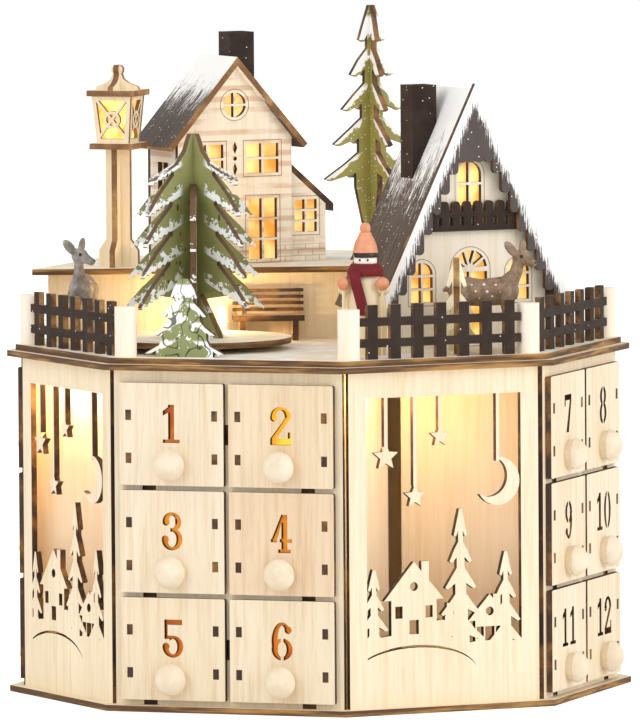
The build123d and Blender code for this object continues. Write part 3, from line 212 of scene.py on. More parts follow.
def ply_grain() -> bpy.types.NodeTree:
    """Pale sheet figure: broad tone, long fibres and short pores.

    Returns:
        Group that takes stretched coordinates and two colours.
    """
    inputs = {"Vector": "Vector", "Pale": "Color", "Dark": "Color", "Figure": "Float"}
    graph, take, give, fresh = group("ply_grain", inputs, {"Color": "Color", "Height": "Float"})
    if fresh:
        broad = graph.noise(take["Vector"], 34.0, 2.0)
        fibre = graph.noise(take["Vector"], 420.0, 5.0, 0.62)
        pore = graph.step(graph.noise(take["Vector"], 1500.0, 1.0), 0.64, 0.74)
        amount = graph.scaled(graph.step(broad, 0.35, 0.7), 0.45, graph.step(fibre, 0.4, 0.72))
        amount = graph.times(graph.scaled(pore, 0.5, amount), take["Figure"])
        graph.link(graph.mix(amount, take["Pale"], take["Dark"]), give["Color"])
        graph.link(graph.minus(fibre, pore), give["Height"])
    return graph.tree


def burnt_cut() -> bpy.types.NodeTree:
    """Laser-burnt cut edge: char with tan patches.

    Returns:
        Group that takes stretched coordinates and two colours.
    """
    inputs = {"Vector": "Vector", "Char": "Color", "Tan": "Color"}
    graph, take, give, fresh = group("burnt_cut", inputs, {"Color": "Color", "Height": "Float"})
    if fresh:
        patch = graph.step(graph.noise(take["Vector"], 60.0, 4.0, 0.6), 0.44, 0.7)
        fine = graph.noise(take["Vector"], 700.0, 3.0)
        amount = graph.times(patch, graph.scaled(fine, 0.9, 0.35))
        graph.link(graph.mix(amount, take["Char"], take["Tan"]), give["Color"])
        graph.link(fine, give["Height"])
    return graph.tree


def snow_specks() -> bpy.types.NodeTree:
    """Dusted white dots.

    Returns:
        Group that takes coordinates and an amount from zero to one.
    """
    inputs = {"Vector": "Vector", "Amount": "Float"}
    graph, take, give, fresh = group("snow_specks", inputs, {"Mask": "Float"})
    if fresh:
        cells = graph.add("TexVoronoi", {"Vector": take["Vector"], "Scale": 700.0})
        dot = graph.below(cells.outputs["Distance"], 0.24)
        chosen = graph.below(graph.parts(cells.outputs["Color"])[0], take["Amount"])
        graph.link(graph.times(dot, chosen), give["Mask"])
    return graph.tree


def brushed_snow() -> bpy.types.NodeTree:
    """White brush strokes that start at an edge and thin out away from it.

    Returns:
        Group that takes the place along the edge, the distance from it and the reach of the snow, in metres.
    """
    inputs = dict.fromkeys(("Along", "Away", "Reach"), "Float")
    graph, take, give, fresh = group("brushed_snow", inputs, {"Mask": "Float"})
    if fresh:
        along = graph.times(take["Along"], 1600.0)
        stroke = graph.noise(graph.joined(along, graph.times(take["Away"], 95.0)), 1.0, 3.0, 0.7)
        broad = graph.noise(graph.joined(graph.times(take["Along"], 120.0), 3.0), 1.0, 2.0)
        length = graph.times(take["Reach"], graph.scaled(broad, 0.9, 0.55))
        share = graph.math("DIVIDE", take["Away"], length)
        cover = graph.minus(graph.scaled(stroke, 3.0, -0.5), share)
        graph.link(graph.step(cover, 0.0, 0.16), give["Mask"])
    return graph.tree


def engraved_frame() -> bpy.types.NodeTree:
    """Thin burnt line round a window, square or with a round head.

    Returns:
        Group that takes a place on the wall, the window's half width, its sill, the height where a round
        head springs, the height of a square head, how far outside the window the line runs, in metres, and
        one for a window that is round below too.
    """
    labels = ("Across", "Height", "Half", "Sill", "Spring", "Head", "Outside", "Whole")
    inputs = dict.fromkeys(labels, "Float")
    graph, take, give, fresh = group("engraved_frame", inputs, {"Mask": "Float"})
    if fresh:
        rise = graph.minus(take["Height"], take["Spring"])
        below = graph.times(rise, graph.times(take["Whole"], -1.0))
        above = graph.most(rise, below)
        out = graph.minus(graph.length(take["Across"], above), take["Half"])
        out = graph.most(out, graph.minus(take["Sill"], take["Height"]))
        out = graph.most(out, graph.minus(take["Height"], take["Head"]))
        gap = graph.math("ABSOLUTE", graph.minus(out, take["Outside"]))
        graph.link(graph.below(gap, 0.00022), give["Mask"])
    return graph.tree


def bough_snow() -> bpy.types.NodeTree:
    """Snow along the upper edges of a cut-out fir's boughs.

    Returns:
        Group that takes the distance from the trunk and from the top, the size of a tier, the reach of the
        first tier, how much each tier gains, and the width of the snow, in metres.
    """
    inputs = dict.fromkeys(("Out", "Down", "Tier", "Reach", "Gain", "Width", "Wobble"), "Float")
    graph, take, give, fresh = group("bough_snow", inputs, {"Mask": "Float"})
    if fresh:
        count = graph.math("DIVIDE", take["Down"], take["Tier"])
        index = graph.math("FLOOR", count)
        share = graph.minus(count, index)
        reach = graph.scaled(index, take["Gain"], take["Reach"])
        edge = graph.times(reach, graph.scaled(share, 0.9, 0.1))
        width = graph.times(take["Width"], graph.scaled(take["Wobble"], 2.4, -0.2))
        line = graph.minus(take["Out"], graph.minus(edge, width))
        below = graph.step(share, 0.22, 0.4)
        graph.link(graph.times(graph.step(line, 0.0, 0.0006), below), give["Mask"])
    return graph.tree


@dataclass
class Paintable:
    """A new material with its graph, its principled shader and its object coordinates."""

    material: Material
    graph: Graph
    shader: bpy.types.Node
    place: Socket

    @classmethod
    def start(cls, name: str, rough: float = 0.6) -> "Paintable":
        """Make an empty principled material.

        Args:
            name: material name.
            rough: plain roughness.

        Returns:
            The material with its parts.
        """
        material = bpy.data.materials.new(name)
        material.use_nodes = True
        graph = Graph(material.node_tree)
        shader = next(n for n in material.node_tree.nodes if n.bl_idname == "ShaderNodeBsdfPrincipled")
        shader.inputs["Roughness"].default_value = rough
        place = graph.add("TexCoord").outputs["Object"]
        return cls(material, graph, shader, place)

    def colour(self, value: Socket | Colour) -> None:
        """Link or set the base colour."""
        self._feed("Base Color", value)

    def rough(self, value: Socket | float) -> None:
        """Link or set the roughness."""
        self._feed("Roughness", value)

    def bump(self, height: Socket, strength: float, depth: float) -> None:
        """Relief from a height.

        Args:
            height: height socket.
            strength: share of the relief that shows.
            depth: relief in metres.
        """
        inputs = {"Height": height, "Strength": strength, "Distance": depth}
        self._feed("Normal", self.graph.add("Bump", inputs).outputs[0])

    def glow(self, value: Socket | Colour, strength: float) -> None:
        """Light that the surface gives by itself."""
        self._feed("Emission Color", value)
        self.shader.inputs["Emission Strength"].default_value = strength

    def use(self, tree: bpy.types.NodeTree, inputs: dict[str, Any]) -> bpy.types.Node:
        """Place a shared group with its own values."""
        return self.graph.add("Group", inputs, node_tree=tree)

    def specks(self, amount: float) -> Socket:
        """Mask of dusted white dots."""
        return self.use(snow_specks(), {"Vector": self.place, "Amount": amount}).outputs["Mask"]

    def local(self, x: float, y: float, z: float, turn: float) -> list[Socket]:
        """Coordinates in a frame that stands at a place in millimetres, turned about Z in degrees."""
        inputs = {"Vector": self.place, "Location": (x * MM, y * MM, z * MM),
                  "Rotation": (0.0, 0.0, math.radians(turn))}
        return self.graph.parts(self.graph.add("Mapping", inputs, vector_type="TEXTURE").outputs[0])

    def _feed(self, name: str, value: Any) -> None:
        """Link or set one input of the shader."""
        if isinstance(value, Socket):
            self.graph.link(value, self.shader.inputs[name])
        else:
            self.shader.inputs[name].default_value = value


@dataclass(frozen=True)
class Ply:
    """Raw plywood face."""

    name: str
    pale: str = "F3E3C6"
    dark: str = "DCC297"
    grain: Grain = Grain.UPRIGHT
    figure: float = 0.45

    def build(self) -> Material:
        """Make the material."""
        paint = Paintable.start(self.name, 0.62)
        fibre = paint.graph.stretch(paint.place, self.grain.value)
        wood = paint.use(ply_grain(), {"Vector": fibre, "Pale": tone(self.pale), "Dark": tone(self.dark),
                                       "Figure": self.figure})
        paint.colour(wood.outputs["Color"])
        paint.bump(wood.outputs["Height"], 0.25, 0.0002)
        return paint.material


@dataclass(frozen=True)
class Burnt:
    """Cut edge of a sheet, browned by the laser."""

    name: str
    char: str = "3A2416"
    tan: str = "9A6A35"
    layers: tuple[float, float, float] = (1.0, 1.0, 1.0)

    def build(self) -> Material:
        """Make the material."""
        paint = Paintable.start(self.name, 0.7)
        grain = paint.graph.stretch(paint.place, self.layers)
        cut = paint.use(burnt_cut(), {"Vector": grain, "Char": tone(self.char), "Tan": tone(self.tan)})
        paint.colour(cut.outputs["Color"])
        paint.bump(cut.outputs["Height"], 0.3, 0.0002)
        return paint.material


@dataclass(frozen=True)
class Dusted:
    """Paint or sheet with a dusting of white specks."""

    name: str
    base: str
    shade: str
    snow: str = "F4F1EA"
    amount: float = 0.1
    broad: float = 0.0

    def build(self) -> Material:
        """Make the material."""
        paint = Paintable.start(self.name, 0.66)
        paint.shader.inputs["Specular IOR Level"].default_value = 0.15
        graph = paint.graph
        mottle = graph.noise(paint.place, 90.0, 4.0, 0.6)
        base = graph.mix(graph.step(mottle, 0.3, 0.75), self.base, self.shade)
        specks = paint.specks(self.amount)
        cloud = graph.step(graph.noise(paint.place, 38.0, 5.0, 0.65), 0.62 - self.broad, 0.75 - self.broad)
        mask = graph.most(specks, graph.times(cloud, 1.0 if self.broad else 0.0))
        paint.colour(graph.mix(mask, base, self.snow))
        paint.bump(graph.scaled(mask, 0.8, mottle), 0.3, 0.0002)
        return paint.material


@dataclass(frozen=True)
class Roof:
    """Dark painted roof with snow brushed down from its ridge."""

    name: str
    x: float
    y: float
    z: float
    turn: float
    pitch: float
    reach: float

    def build(self) -> Material:
        """Make the material."""
        paint = Paintable.start(self.name, 0.68)
        graph = paint.graph
        across, along, _ = paint.local(self.x, self.y, self.z, self.turn)
        down = graph.math("DIVIDE", graph.math("ABSOLUTE", across), math.cos(math.radians(self.pitch)))
        strokes = {"Along": along, "Away": down, "Reach": self.reach * MM}
        top = paint.use(brushed_snow(), strokes).outputs["Mask"]
        specks = paint.specks(0.12)
        mask = graph.most(top, specks)
        brush = graph.joined(graph.times(along, 500.0), graph.times(down, 25.0))
        streak = graph.noise(brush, 1.0)
        base = graph.mix(graph.step(streak, 0.3, 0.7), "3F342E", "5F524A")
        paint.colour(graph.mix(mask, base, "F8F6F2"))
        paint.bump(mask, 0.4, 0.0003)
        return paint.material


@dataclass(frozen=True)
class SnowEdgeBoard:
    """Dark gable board with snow brushed straight down from its sloping outer edges."""

    name: str
    x: float
    y: float
    turn: float
    top: float
    pitch: float
    reach: float

    def build(self) -> Material:
        """Make the material."""
        paint = Paintable.start(self.name, 0.68)
        graph = paint.graph
        across, _, height = paint.local(self.x, self.y, self.top, self.turn)
        side = graph.math("ABSOLUTE", across)
        fall = graph.scaled(side, -math.tan(math.radians(self.pitch)), graph.times(height, -1.0))
        strokes = {"Along": across, "Away": fall, "Reach": self.reach * MM}
        edge = paint.use(brushed_snow(), strokes).outputs["Mask"]
        specks = paint.specks(0.06)
        mask = graph.most(edge, specks)
        base = graph.mix(graph.noise(paint.place, 120.0, 4.0), "443936", "574C48")
        paint.colour(graph.mix(mask, base, "F9F7F4"))
        paint.bump(mask, 0.4, 0.0003)
        return paint.material


@dataclass(frozen=True)
class FirBoard:
    """Green cut-out fir with snow on the upper edges of its boughs."""

    name: str
    x: float
    y: float
    top: float
    tier: float
    reach: float
    gain: float
    width: float
    green: str = "87915C"
    shade: str = "6F7A46"
    snow: str = "F5F6F3"
    blobs: float = 0.0
    seams: float = 0.0

    def build(self) -> Material:
        """Make the material."""
        paint = Paintable.start(self.name, 0.6)
        graph = paint.graph
        east, north, height = paint.local(self.x, self.y, self.top, 0.0)
        out = graph.length(east, north)
        down = graph.times(height, -1.0)
        wobble = graph.noise(paint.place, 260.0, 2.0)
        sizes = {"Tier": self.tier, "Reach": self.reach, "Gain": self.gain, "Width": self.width}
        boughs = {key: size * MM for key, size in sizes.items()}
        snow = paint.use(bough_snow(), {"Out": out, "Down": down, "Wobble": wobble, **boughs})
        blob = graph.step(graph.noise(paint.place, 150.0, 2.0), 0.71 - self.blobs, 0.72 - self.blobs)
        specks = paint.specks(0.3)
        mask = graph.most(snow.outputs["Mask"], graph.most(blob, specks))
        base = graph.mix(graph.noise(paint.place, 70.0, 4.0), self.green, self.shade)
        colour = graph.mix(mask, base, self.snow)
        if self.seams:
            contour = graph.math("ABSOLUTE", graph.minus(graph.noise(paint.place, 95.0, 1.0), 0.5))
            seam = graph.times(graph.below(contour, 0.012), self.seams)
            colour = graph.mix(seam, colour, "33291A")
        paint.colour(colour)
        paint.bump(mask, 0.5, 0.0004)
        return paint.material


@dataclass(frozen=True)
class DroopingFir:
    """Green fir board whose drooping boughs carry clumps of snow along their ragged lower edges."""

    name: str
    x: float
    y: float
    base: float
    tier: float
    green: str = "9E9C62"
    shade: str = "787A46"
    cover: float = 1.0
    heap: float = 28.0
    bare: float = 9.4
    droop: float = 0.42
    clear: float = 8.0

    def build(self) -> Material:
        """Make the material."""
        paint = Paintable.start(self.name, 0.6)
        graph = paint.graph
        east, north, height = paint.local(self.x, self.y, self.base, 0.0)
        out = graph.length(east, north)
        count = graph.math("DIVIDE", graph.scaled(out, self.droop, height), self.tier * MM)
        above = graph.times(graph.math("FRACT", count), self.tier * MM)
        clump = graph.noise(paint.place, 270.0, 3.0, 0.65)
        depth = graph.times(graph.scaled(clump, self.heap * MM, -self.bare * MM), self.cover)
        outer = graph.step(out, self.clear * MM, (self.clear + 4.0) * MM)
        snow = graph.times(graph.step(graph.minus(depth, above), 0.0, 0.0005), outer)
        mask = graph.times(snow, graph.step(above, 0.0003, 0.0007))
        tall_spots = graph.stretch(paint.place, (1.0, 1.0, 0.5))
        spots = graph.add("TexVoronoi", {"Vector": tall_spots, "Scale": 190.0})
        nick = graph.below(spots.outputs["Distance"], 0.16)
        base = graph.mix(graph.noise(paint.place, 80.0, 4.0), self.green, self.shade)
        base = graph.mix(graph.times(nick, 0.8), base, "2A2214")
        paint.colour(graph.mix(mask, base, "F4F6F4"))
        paint.bump(mask, 0.6, 0.0005)
        return paint.material


@dataclass(frozen=True)
class FrameLine:
    """Engraved line round one window, mirrored left and right, in millimetres on the wall."""

    across: float
    half: float
    sill: float
    spring: float = 900.0
    head: float = 900.0
    outside: float = 1.7
    whole: float = 0.0

    def mask(self, paint: Paintable, across: Socket, height: Socket) -> Socket:
        """Where the line is burnt.

        Args:
            paint: material that takes the line.
            across: place from the wall's middle.
            height: place above the wall's foot.

        Returns:
            Mask socket.
        """
        graph = paint.graph
        place = graph.minus(graph.math("ABSOLUTE", across), self.across * MM)
        sizes = {"Half": self.half, "Sill": self.sill, "Spring": self.spring, "Head": self.head,
                 "Outside": self.outside}
        inputs = {key: size * MM for key, size in sizes.items()}
        inputs["Whole"] = self.whole
        return paint.use(engraved_frame(), {"Across": place, "Height": height, **inputs}).outputs["Mask"]


@dataclass(frozen=True)
class LogWall:
    """House wall with burnt log bands, a course of stones along its foot and lines round its windows. Its ply
    is painted paler than the birch elsewhere, painted light that brightens walls shaded by their roofs.
    """

    name: str
    x: float
    y: float
    z: float
    turn: float
    lines: tuple[FrameLine, ...] = ()
    band: float = 0.6
    stone: float = 0.42
    pitch: float = 5.6
    stones: float = 9.0
    engraving: float = 0.75

    def build(self) -> Material:
        """Make the material."""
        paint = Paintable.start(self.name, 0.62)
        graph = paint.graph
        across, deep, height = paint.local(self.x, self.y, self.z, self.turn)
        # Paler ply colours: painted light on the house and chalet walls.
        wood = paint.use(ply_grain(), {"Vector": graph.stretch(paint.place, Grain.UPRIGHT.value),
                                       "Pale": tone("FAF1E0"), "Dark": tone("EBD9B8"), "Figure": 0.5})
        count = graph.math("DIVIDE", height, self.pitch * MM)
        share = graph.math("ABSOLUTE", graph.minus(graph.math("FRACT", count), 0.5))
        broken = graph.step(graph.noise(graph.stretch(paint.place, (1.0, 1.0, 3.0)), 40.0, 3.0), 0.4, 0.62)
        rows = graph.times(graph.step(share, 0.16, 0.36), broken)
        logs = graph.mix(graph.times(rows, self.band), wood.outputs["Color"], "D3A27C")
        bond = graph.joined(graph.math("ADD", across, deep), height)
        tones = {"Color1": tone("000000"), "Color2": (0.5, 0.5, 0.5, 1.0), "Mortar": tone("FFFFFF")}
        sizes = {"Scale": 1.0, "Mortar Size": 0.35 * MM, "Brick Width": 8.0 * MM, "Row Height": 3.0 * MM}
        bricks = graph.add("TexBrick", {"Vector": bond, **tones, **sizes})
        low = graph.below(height, self.stones * MM)
        stones = graph.times(bricks.outputs["Color"], low)
        burn = graph.times(stones, self.stone)
        front = graph.times(graph.below(deep, 2.5 * PLY * MM), self.engraving)
        for line in self.lines:
            engraved = graph.times(line.mask(paint, across, height), front)
            burn = graph.most(burn, engraved)
        paint.colour(graph.mix(burn, logs, "7A5230"))
        paint.bump(graph.minus(wood.outputs["Height"], burn), 0.3, 0.0003)
        return paint.material


@dataclass(frozen=True)
class Glow:
    """Lit warm film or lens."""

    name: str
    bright: str
    deep: str
    strength: float
    patch: float = 55.0

    def build(self) -> Material:
        """Make the material."""
        paint = Paintable.start(self.name, 0.5)
        cloud = paint.graph.step(paint.graph.noise(paint.place, self.patch, 2.0), 0.36, 0.64)
        colour = paint.graph.mix(cloud, self.deep, self.bright)
        paint.colour(colour)
        if self.strength:
            paint.glow(colour, self.strength)
        return paint.material


@dataclass(frozen=True)
class Mottled:
    """Solid finish with a fine change of tone, such as turned wood, cast resin, felt or moulded plastic."""

    name: str
    base: str
    shade: str
    scale: float = 150.0
    rough: float = 0.55
    relief: float = 0.0002
    stretch: tuple[float, float, float] = (1.0, 1.0, 1.0)

    def build(self) -> Material:
        """Make the material."""
        paint = Paintable.start(self.name, self.rough)
        mottle = paint.graph.noise(paint.graph.stretch(paint.place, self.stretch), self.scale, 5.0, 0.65)
        paint.colour(paint.graph.mix(paint.graph.step(mottle, 0.3, 0.7), self.base, self.shade))
        paint.bump(mottle, 0.35, self.relief)
        return paint.material


@dataclass(frozen=True)
class Surface:
    """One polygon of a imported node, in millimetres."""

    centre: Vector
    normal: Vector
    sheet: bool


class PackedNode:
    """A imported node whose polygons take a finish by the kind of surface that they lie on."""

    def __init__(self, node: bpy.types.Object, thickness: float = PLY) -> None:
        """Read the polygons and find which of them are sheet faces.

        Args:
            node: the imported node's object.
            thickness: sheet thickness in millimetres.
        """
        self.node = node
        mesh = node.data
        points = [v.co / MM for v in mesh.vertices]
        tree = BVHTree.FromPolygons(points, [tuple(p.vertices) for p in mesh.polygons])
        self.surfaces: list[Surface] = []
        inset = 0.02
        for polygon in mesh.polygons:
            centre = polygon.center / MM
            hit = tree.ray_cast(centre - polygon.normal * inset, -polygon.normal)[3]
            sheet = hit is not None and abs(hit + inset - thickness) < 0.08
            self.surfaces.append(Surface(centre, polygon.normal.copy(), sheet))

    def dress(self, materials: Sequence[Material], choose: Callable[[Surface], int]) -> None:
        """Give every polygon one of the materials.

        Args:
            materials: finishes in order.
            choose: place of the finish for a surface.
        """
        mesh = self.node.data
        mesh.materials.clear()
        for material in materials:
            mesh.materials.append(material)
        mesh.polygons.foreach_set("material_index", [choose(surface) for surface in self.surfaces])
        mesh.update()
        LOG.info("dressed %s", self.node.name)


def sheet_or_cut(surface: Surface) -> int:
    """Zero on a sheet face, one on a cut edge."""
    return 0 if surface.sheet else 1


def placed(x: float, y: float, z: float, turn: float = 0.0) -> Matrix:
    """Place in millimetres, turned about Z in degrees."""
    return Matrix.Translation((x, y, z)) @ Matrix.Rotation(math.radians(turn), 4, "Z")


def finished(name: str, mesh: bmesh.types.BMesh, place: Matrix, materials: Sequence[Material],
             angle: float = 40.0) -> bpy.types.Object:
    """Turn a bmesh in millimetres into an object in the calendar's frame.

    Args:
        name: piece name.
        mesh: the shape, which is used up.
        place: where it stands, in millimetres.
        materials: finishes by material place.
        angle: edges sharper than this stay sharp.

    Returns:
        The linked object at the origin.
    """
    bmesh.ops.remove_doubles(mesh, verts=mesh.verts, dist=0.001)
    bmesh.ops.recalc_face_normals(mesh, faces=mesh.faces)
    mesh.transform(Matrix.Scale(MM, 4) @ place)
    data = bpy.data.meshes.new(name)
    mesh.to_mesh(data)
    mesh.free()
    for material in materials:
        data.materials.append(material)
    data.shade_smooth()
    data.set_sharp_from_angle(angle=math.radians(angle))
    piece = bpy.data.objects.new(name, data)
    bpy.context.scene.collection.objects.link(piece)
    return piece


def settle(piece: bpy.types.Object, body: str) -> bpy.types.Object:
    """Let a piece ride on a body."""
    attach(piece, body)
    LOG.info("built %s", piece.name)
    return piece


def smooth_profile(points: Sequence[tuple[float, float]], steps: int = 5) -> list[tuple[float, float]]:
    """Rounded line through the points.

    Args:
        points: corner points.
        steps: pieces between two points.

    Returns:
        Points of the rounded line.
    """
    line = [points[0], *points, points[-1]]
    result = []
    for a, b, c, d in zip(line, line[1:], line[2:], line[3:]):
        for index in range(steps):
            t = index / steps
            result.append(tuple(0.5 * (2 * q + (r - p) * t + (2 * p - 5 * q + 4 * r - s) * t * t
                                       + (3 * q - p - 3 * r + s) * t ** 3) for p, q, r, s in zip(a, b, c, d)))
    result.append(points[-1])
    return result


def raised(profile: Sequence[tuple[float, float]], height: float) -> list[tuple[float, float]]:
    """Profile of (radius, height) points set at a height."""
    return [(radius, height + rise) for radius, rise in profile]


def lathe(mesh: bmesh.types.BMesh, profile: Sequence[tuple[float, float]], material: int = 0,
          segments: int = 40) -> list[bmesh.types.BMFace]:
    """Spin a half profile of (radius, height) points about Z.

    Args:
        mesh: bmesh that takes the shape.
        profile: points from one end to the other.
        material: material place of the new faces.
        segments: steps of the full turn.

    Returns:
        The new faces.
    """
    before = set(mesh.faces)
    verts = [mesh.verts.new((max(radius, 0.0), 0.0, height)) for radius, height in profile]
    edges = [mesh.edges.new(pair) for pair in zip(verts, verts[1:])]
    bmesh.ops.spin(mesh, geom=verts + edges, cent=(0, 0, 0), axis=(0, 0, 1), angle=math.tau, steps=segments,
                   use_merge=True, use_duplicate=False)
    bmesh.ops.remove_doubles(mesh, verts=mesh.verts, dist=0.0005)
    faces = [face for face in mesh.faces if face not in before]
    for face in faces:
        face.material_index = material
    return faces


def paint_faces(verts: Sequence[bmesh.types.BMVert], material: int) -> None:
    """Give the faces round the vertices a material place."""
    for face in {face for vert in verts for face in vert.link_faces}:
        face.material_index = material


def ball(mesh: bmesh.types.BMesh, centre: Sequence[float], radius: float, material: int = 0,
         squash: Sequence[float] = (1.0, 1.0, 1.0), segments: int = 24) -> None:
    """Add a ball, squashed along the axes."""
    place = Matrix.Translation(centre) @ Matrix.Diagonal((*squash, 1.0))
    made = bmesh.ops.create_uvsphere(mesh, u_segments=segments, v_segments=segments // 2, radius=radius,
                                     matrix=place)
    paint_faces(made["verts"], material)


def rod(mesh: bmesh.types.BMesh, start: Sequence[float], end: Sequence[float], first: float, last: float,
        material: int = 0, segments: int = 20) -> None:
    """Add a tapered round rod between two points."""
    low, high = Vector(start), Vector(end)
    reach = high - low
    place = Matrix.Translation((low + high) / 2) @ reach.to_track_quat("Z", "Y").to_matrix().to_4x4()
    made = bmesh.ops.create_cone(mesh, cap_ends=True, segments=segments, radius1=first, radius2=last,
                                 depth=reach.length, matrix=place)
    paint_faces(made["verts"], material)


def card(mesh: bmesh.types.BMesh, x0: float, x1: float, z0: float, z1: float, y: float,
         thick: float) -> None:
    """Add a thin upright card with softened corners between y and y + thick."""
    place = Matrix.Translation(((x0 + x1) / 2, y + thick / 2, (z0 + z1) / 2))
    size = Matrix.Diagonal((x1 - x0, thick, z1 - z0, 1.0))
    made = bmesh.ops.create_cube(mesh, size=1.0, matrix=place @ size)
    edges = {edge for vert in made["verts"] for edge in vert.link_edges}
    upright = [edge for edge in edges if abs(edge.verts[0].co.y - edge.verts[1].co.y) > thick / 2]
    bmesh.ops.bevel(mesh, geom=upright, offset=0.6, offset_type="OFFSET", segments=2, profile=0.5,
                    affect="EDGES", material=-1)


def films(name: str, panes: Sequence[tuple[float, float, float, float, float]], place: Matrix,
          finish: Material) -> None:
    """Build the lit films behind a wall's windows.

    Args:
        name: piece name.
        panes: middle, half width, foot, head and depth behind the wall's front of each film.
        place: the wall's frame.
        finish: what the films are made of.
    """
    mesh = bmesh.new()
    for middle, half, low, high, back in panes:
        card(mesh, middle - half, middle + half, low, high, back, FILM)
    settle(finished(name, mesh, place, [finish]), CARCASS)


@dataclass
class Workshop:
    """The finishes that several sub-assemblies share."""

    ply: Material
    lying: Material
    inner: Material
    edge: Material
    plate_edge: Material
    dark: Material
    dark_edge: Material
    toasted: Material
    snow: Material
    turned: Material
    knob: Material

    @classmethod
    def open(cls) -> "Workshop":
        """Make the shared finishes."""
        return cls(
            ply=Ply("birch_upright").build(),
            lying=Ply("birch_lying", grain=Grain.LYING).build(),
            # Paler copy of the birch ply for the rack walls and drawer insides: painted light standing in for
            # the lamps' warm glow in the pockets.
            inner=Ply("birch_inside_painted_lit", pale="F7E8CF", dark="E8D0A8").build(),
            edge=Burnt("burnt_edge").build(),
            plate_edge=Burnt("burnt_plate_edge", "57391E", "C4924D", (0.35, 0.35, 6.0)).build(),
            dark=Dusted("dark_paint", "332821", "3F332B", amount=0.03).build(),
            dark_edge=Burnt("dark_paint_edge", char="513820", tan="C0925A").build(),
            toasted=Burnt("toasted_edge", char="7A5430", tan="C99C62").build(),
            snow=Dusted("snow_dusted", "F2E8D4", "E8D8BA", amount=0.4, broad=0.16).build(),
            turned=Mottled("turned_pale_wood", "FAF1E1", "F1E2C8", scale=110.0,
                           stretch=(1.0, 1.0, 0.1)).build(),
            knob=Mottled("knob_wood", "F0E2CB", "E6D3B4", scale=110.0).build())


@dataclass
class Assembly:
    """One part of the calendar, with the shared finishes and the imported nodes."""

    shop: Workshop
    nodes: dict[str, bpy.types.Object]

    def sheets(self, face: Material, cut: Material, *names: str) -> None:
        """Dress sheet-cut nodes with one finish on their faces and one on their cut edges."""
        for name in names:
            PackedNode(self.nodes[name]).dress([face, cut], sheet_or_cut)

    def plain(self, finish: Material, *names: str) -> None:
        """Dress nodes with one finish all over."""
        for name in names:
            PackedNode(self.nodes[name]).dress([finish], lambda surface: 0)


@dataclass
class Carcass(Assembly):
    """Plates, walls and racks."""

    def build(self) -> None:
        """Dress the carcass sheets."""
        shop = self.shop
        self.sheets(shop.lying, shop.plate_edge, "base_plate", "carcass_top")
        self.sheets(shop.snow, shop.plate_edge, "snow_deck")
        self.sheets(shop.lying, shop.edge, "drawer_shelves")
        self.sheets(shop.ply, shop.edge, "face_frames", "scene_panels", "drawer_dividers")
        # The rack walls take the paler copy of the ply, which is painted light.
        self.sheets(shop.inner, shop.edge, "rack_walls")


class NumberGlow(Enum):
    """Painted light behind a cut number: bright colour, deep colour and glow strength of its card. The
    glowing cards of drawers 1 to 6 stand in for light inside those drawers, and the dark card of drawers 7 to
    12 is painted shade.
    """

    AMBER = ("D9822E", "B4581C", 0.55)
    YELLOW = ("F7C531", "E59A1C", 0.95)
    ORANGE = ("E79A26", "C9741C", 0.7)
    RUSSET = ("D97A1E", "B4520F", 0.5)
    SHADED_UMBER = ("7C3B22", "5A2715", 0.0)

    @classmethod
    def of(cls, number: int) -> "NumberGlow":
        """Painted glow or painted shade of the card behind a drawer's number."""
        lit = {1: cls.AMBER, 2: cls.YELLOW, 3: cls.ORANGE, 4: cls.ORANGE, 5: cls.RUSSET, 6: cls.RUSSET}
        return lit.get(number, cls.SHADED_UMBER)


@dataclass
class Drawers(Assembly):
    """Twenty-four numbered drawers with a card behind each number that carries painted glow or painted shade.
    """

    front_face: float = 141.7
    front_back: float = 138.7
    column: float = 28.75
    lowest: float = 31.3
    pitch: float = 53.5
    number_rise: float = 5.3
    card_wide: float = 30.0
    card_tall: float = 22.0
    card_gap: float = 0.05

    def build(self) -> None:
        """Dress every drawer and add its number card."""
        fronts = [Ply(f"drawer_front_{index}", pale=pale, dark=dark, figure=0.5).build()
                  for index, (pale, dark) in enumerate((("EFDFC2", "D6BA8F"), ("EDD8B8", "D2B184"),
                                                        ("F1E2C8", "DABF96"), ("EBD2B2", "D0AC80")))]
        # Cards of drawers 1 to 6 glow as painted light from inside; the cards of 7 to 12 are dark as painted
        # shade.
        card_glows = {card_glow: Glow("number_" + card_glow.name.lower(), *card_glow.value).build() for card_glow in NumberGlow}
        shades = random.Random(24)
        for number in range(1, 25):
            front = fronts[3] if number == 4 else fronts[shades.randrange(3)]
            self.drawer(number, front, card_glows[NumberGlow.of(number)])

    def drawer(self, number: int, front: Material, card_glow: Material) -> None:
        """Dress one drawer and add its card.

        Args:
            number: drawer number.
            front: finish of the front.
            card_glow: finish of the card, a painted glow or painted shade.
        """
        face = (number - 1) // 6
        turn = Matrix.Rotation(math.radians(90 * face), 4, "Z")
        out = turn @ Vector((0.0, -1.0, 0.0))

        def choose(surface: Surface) -> int:
            """Finish of a drawer: front, cut edge, knob or inside."""
            reach = surface.centre.dot(out)
            if reach > self.front_face + 0.05:
                return 2
            if not surface.sheet:
                return 1
            return 0 if reach > self.front_back - 0.1 else 3

        node = PackedNode(self.nodes[f"drawer_{number:02d}"])
        node.dress([front, self.shop.edge, self.shop.knob, self.shop.inner], choose)
        index = (number - 1) % 6
        middle = self.column * (1 if index % 2 else -1)
        height = self.lowest + self.pitch * (2 - index // 2) + self.number_rise
        mesh = bmesh.new()
        card(mesh, middle - self.card_wide / 2, middle + self.card_wide / 2, height - self.card_tall / 2,
             height + self.card_tall / 2, self.card_gap - self.front_back, FILM)
        piece = finished(f"number_card_{number:02d}", mesh, turn, [card_glow])
        settle(piece, f"drawer_{number:02d}_body")


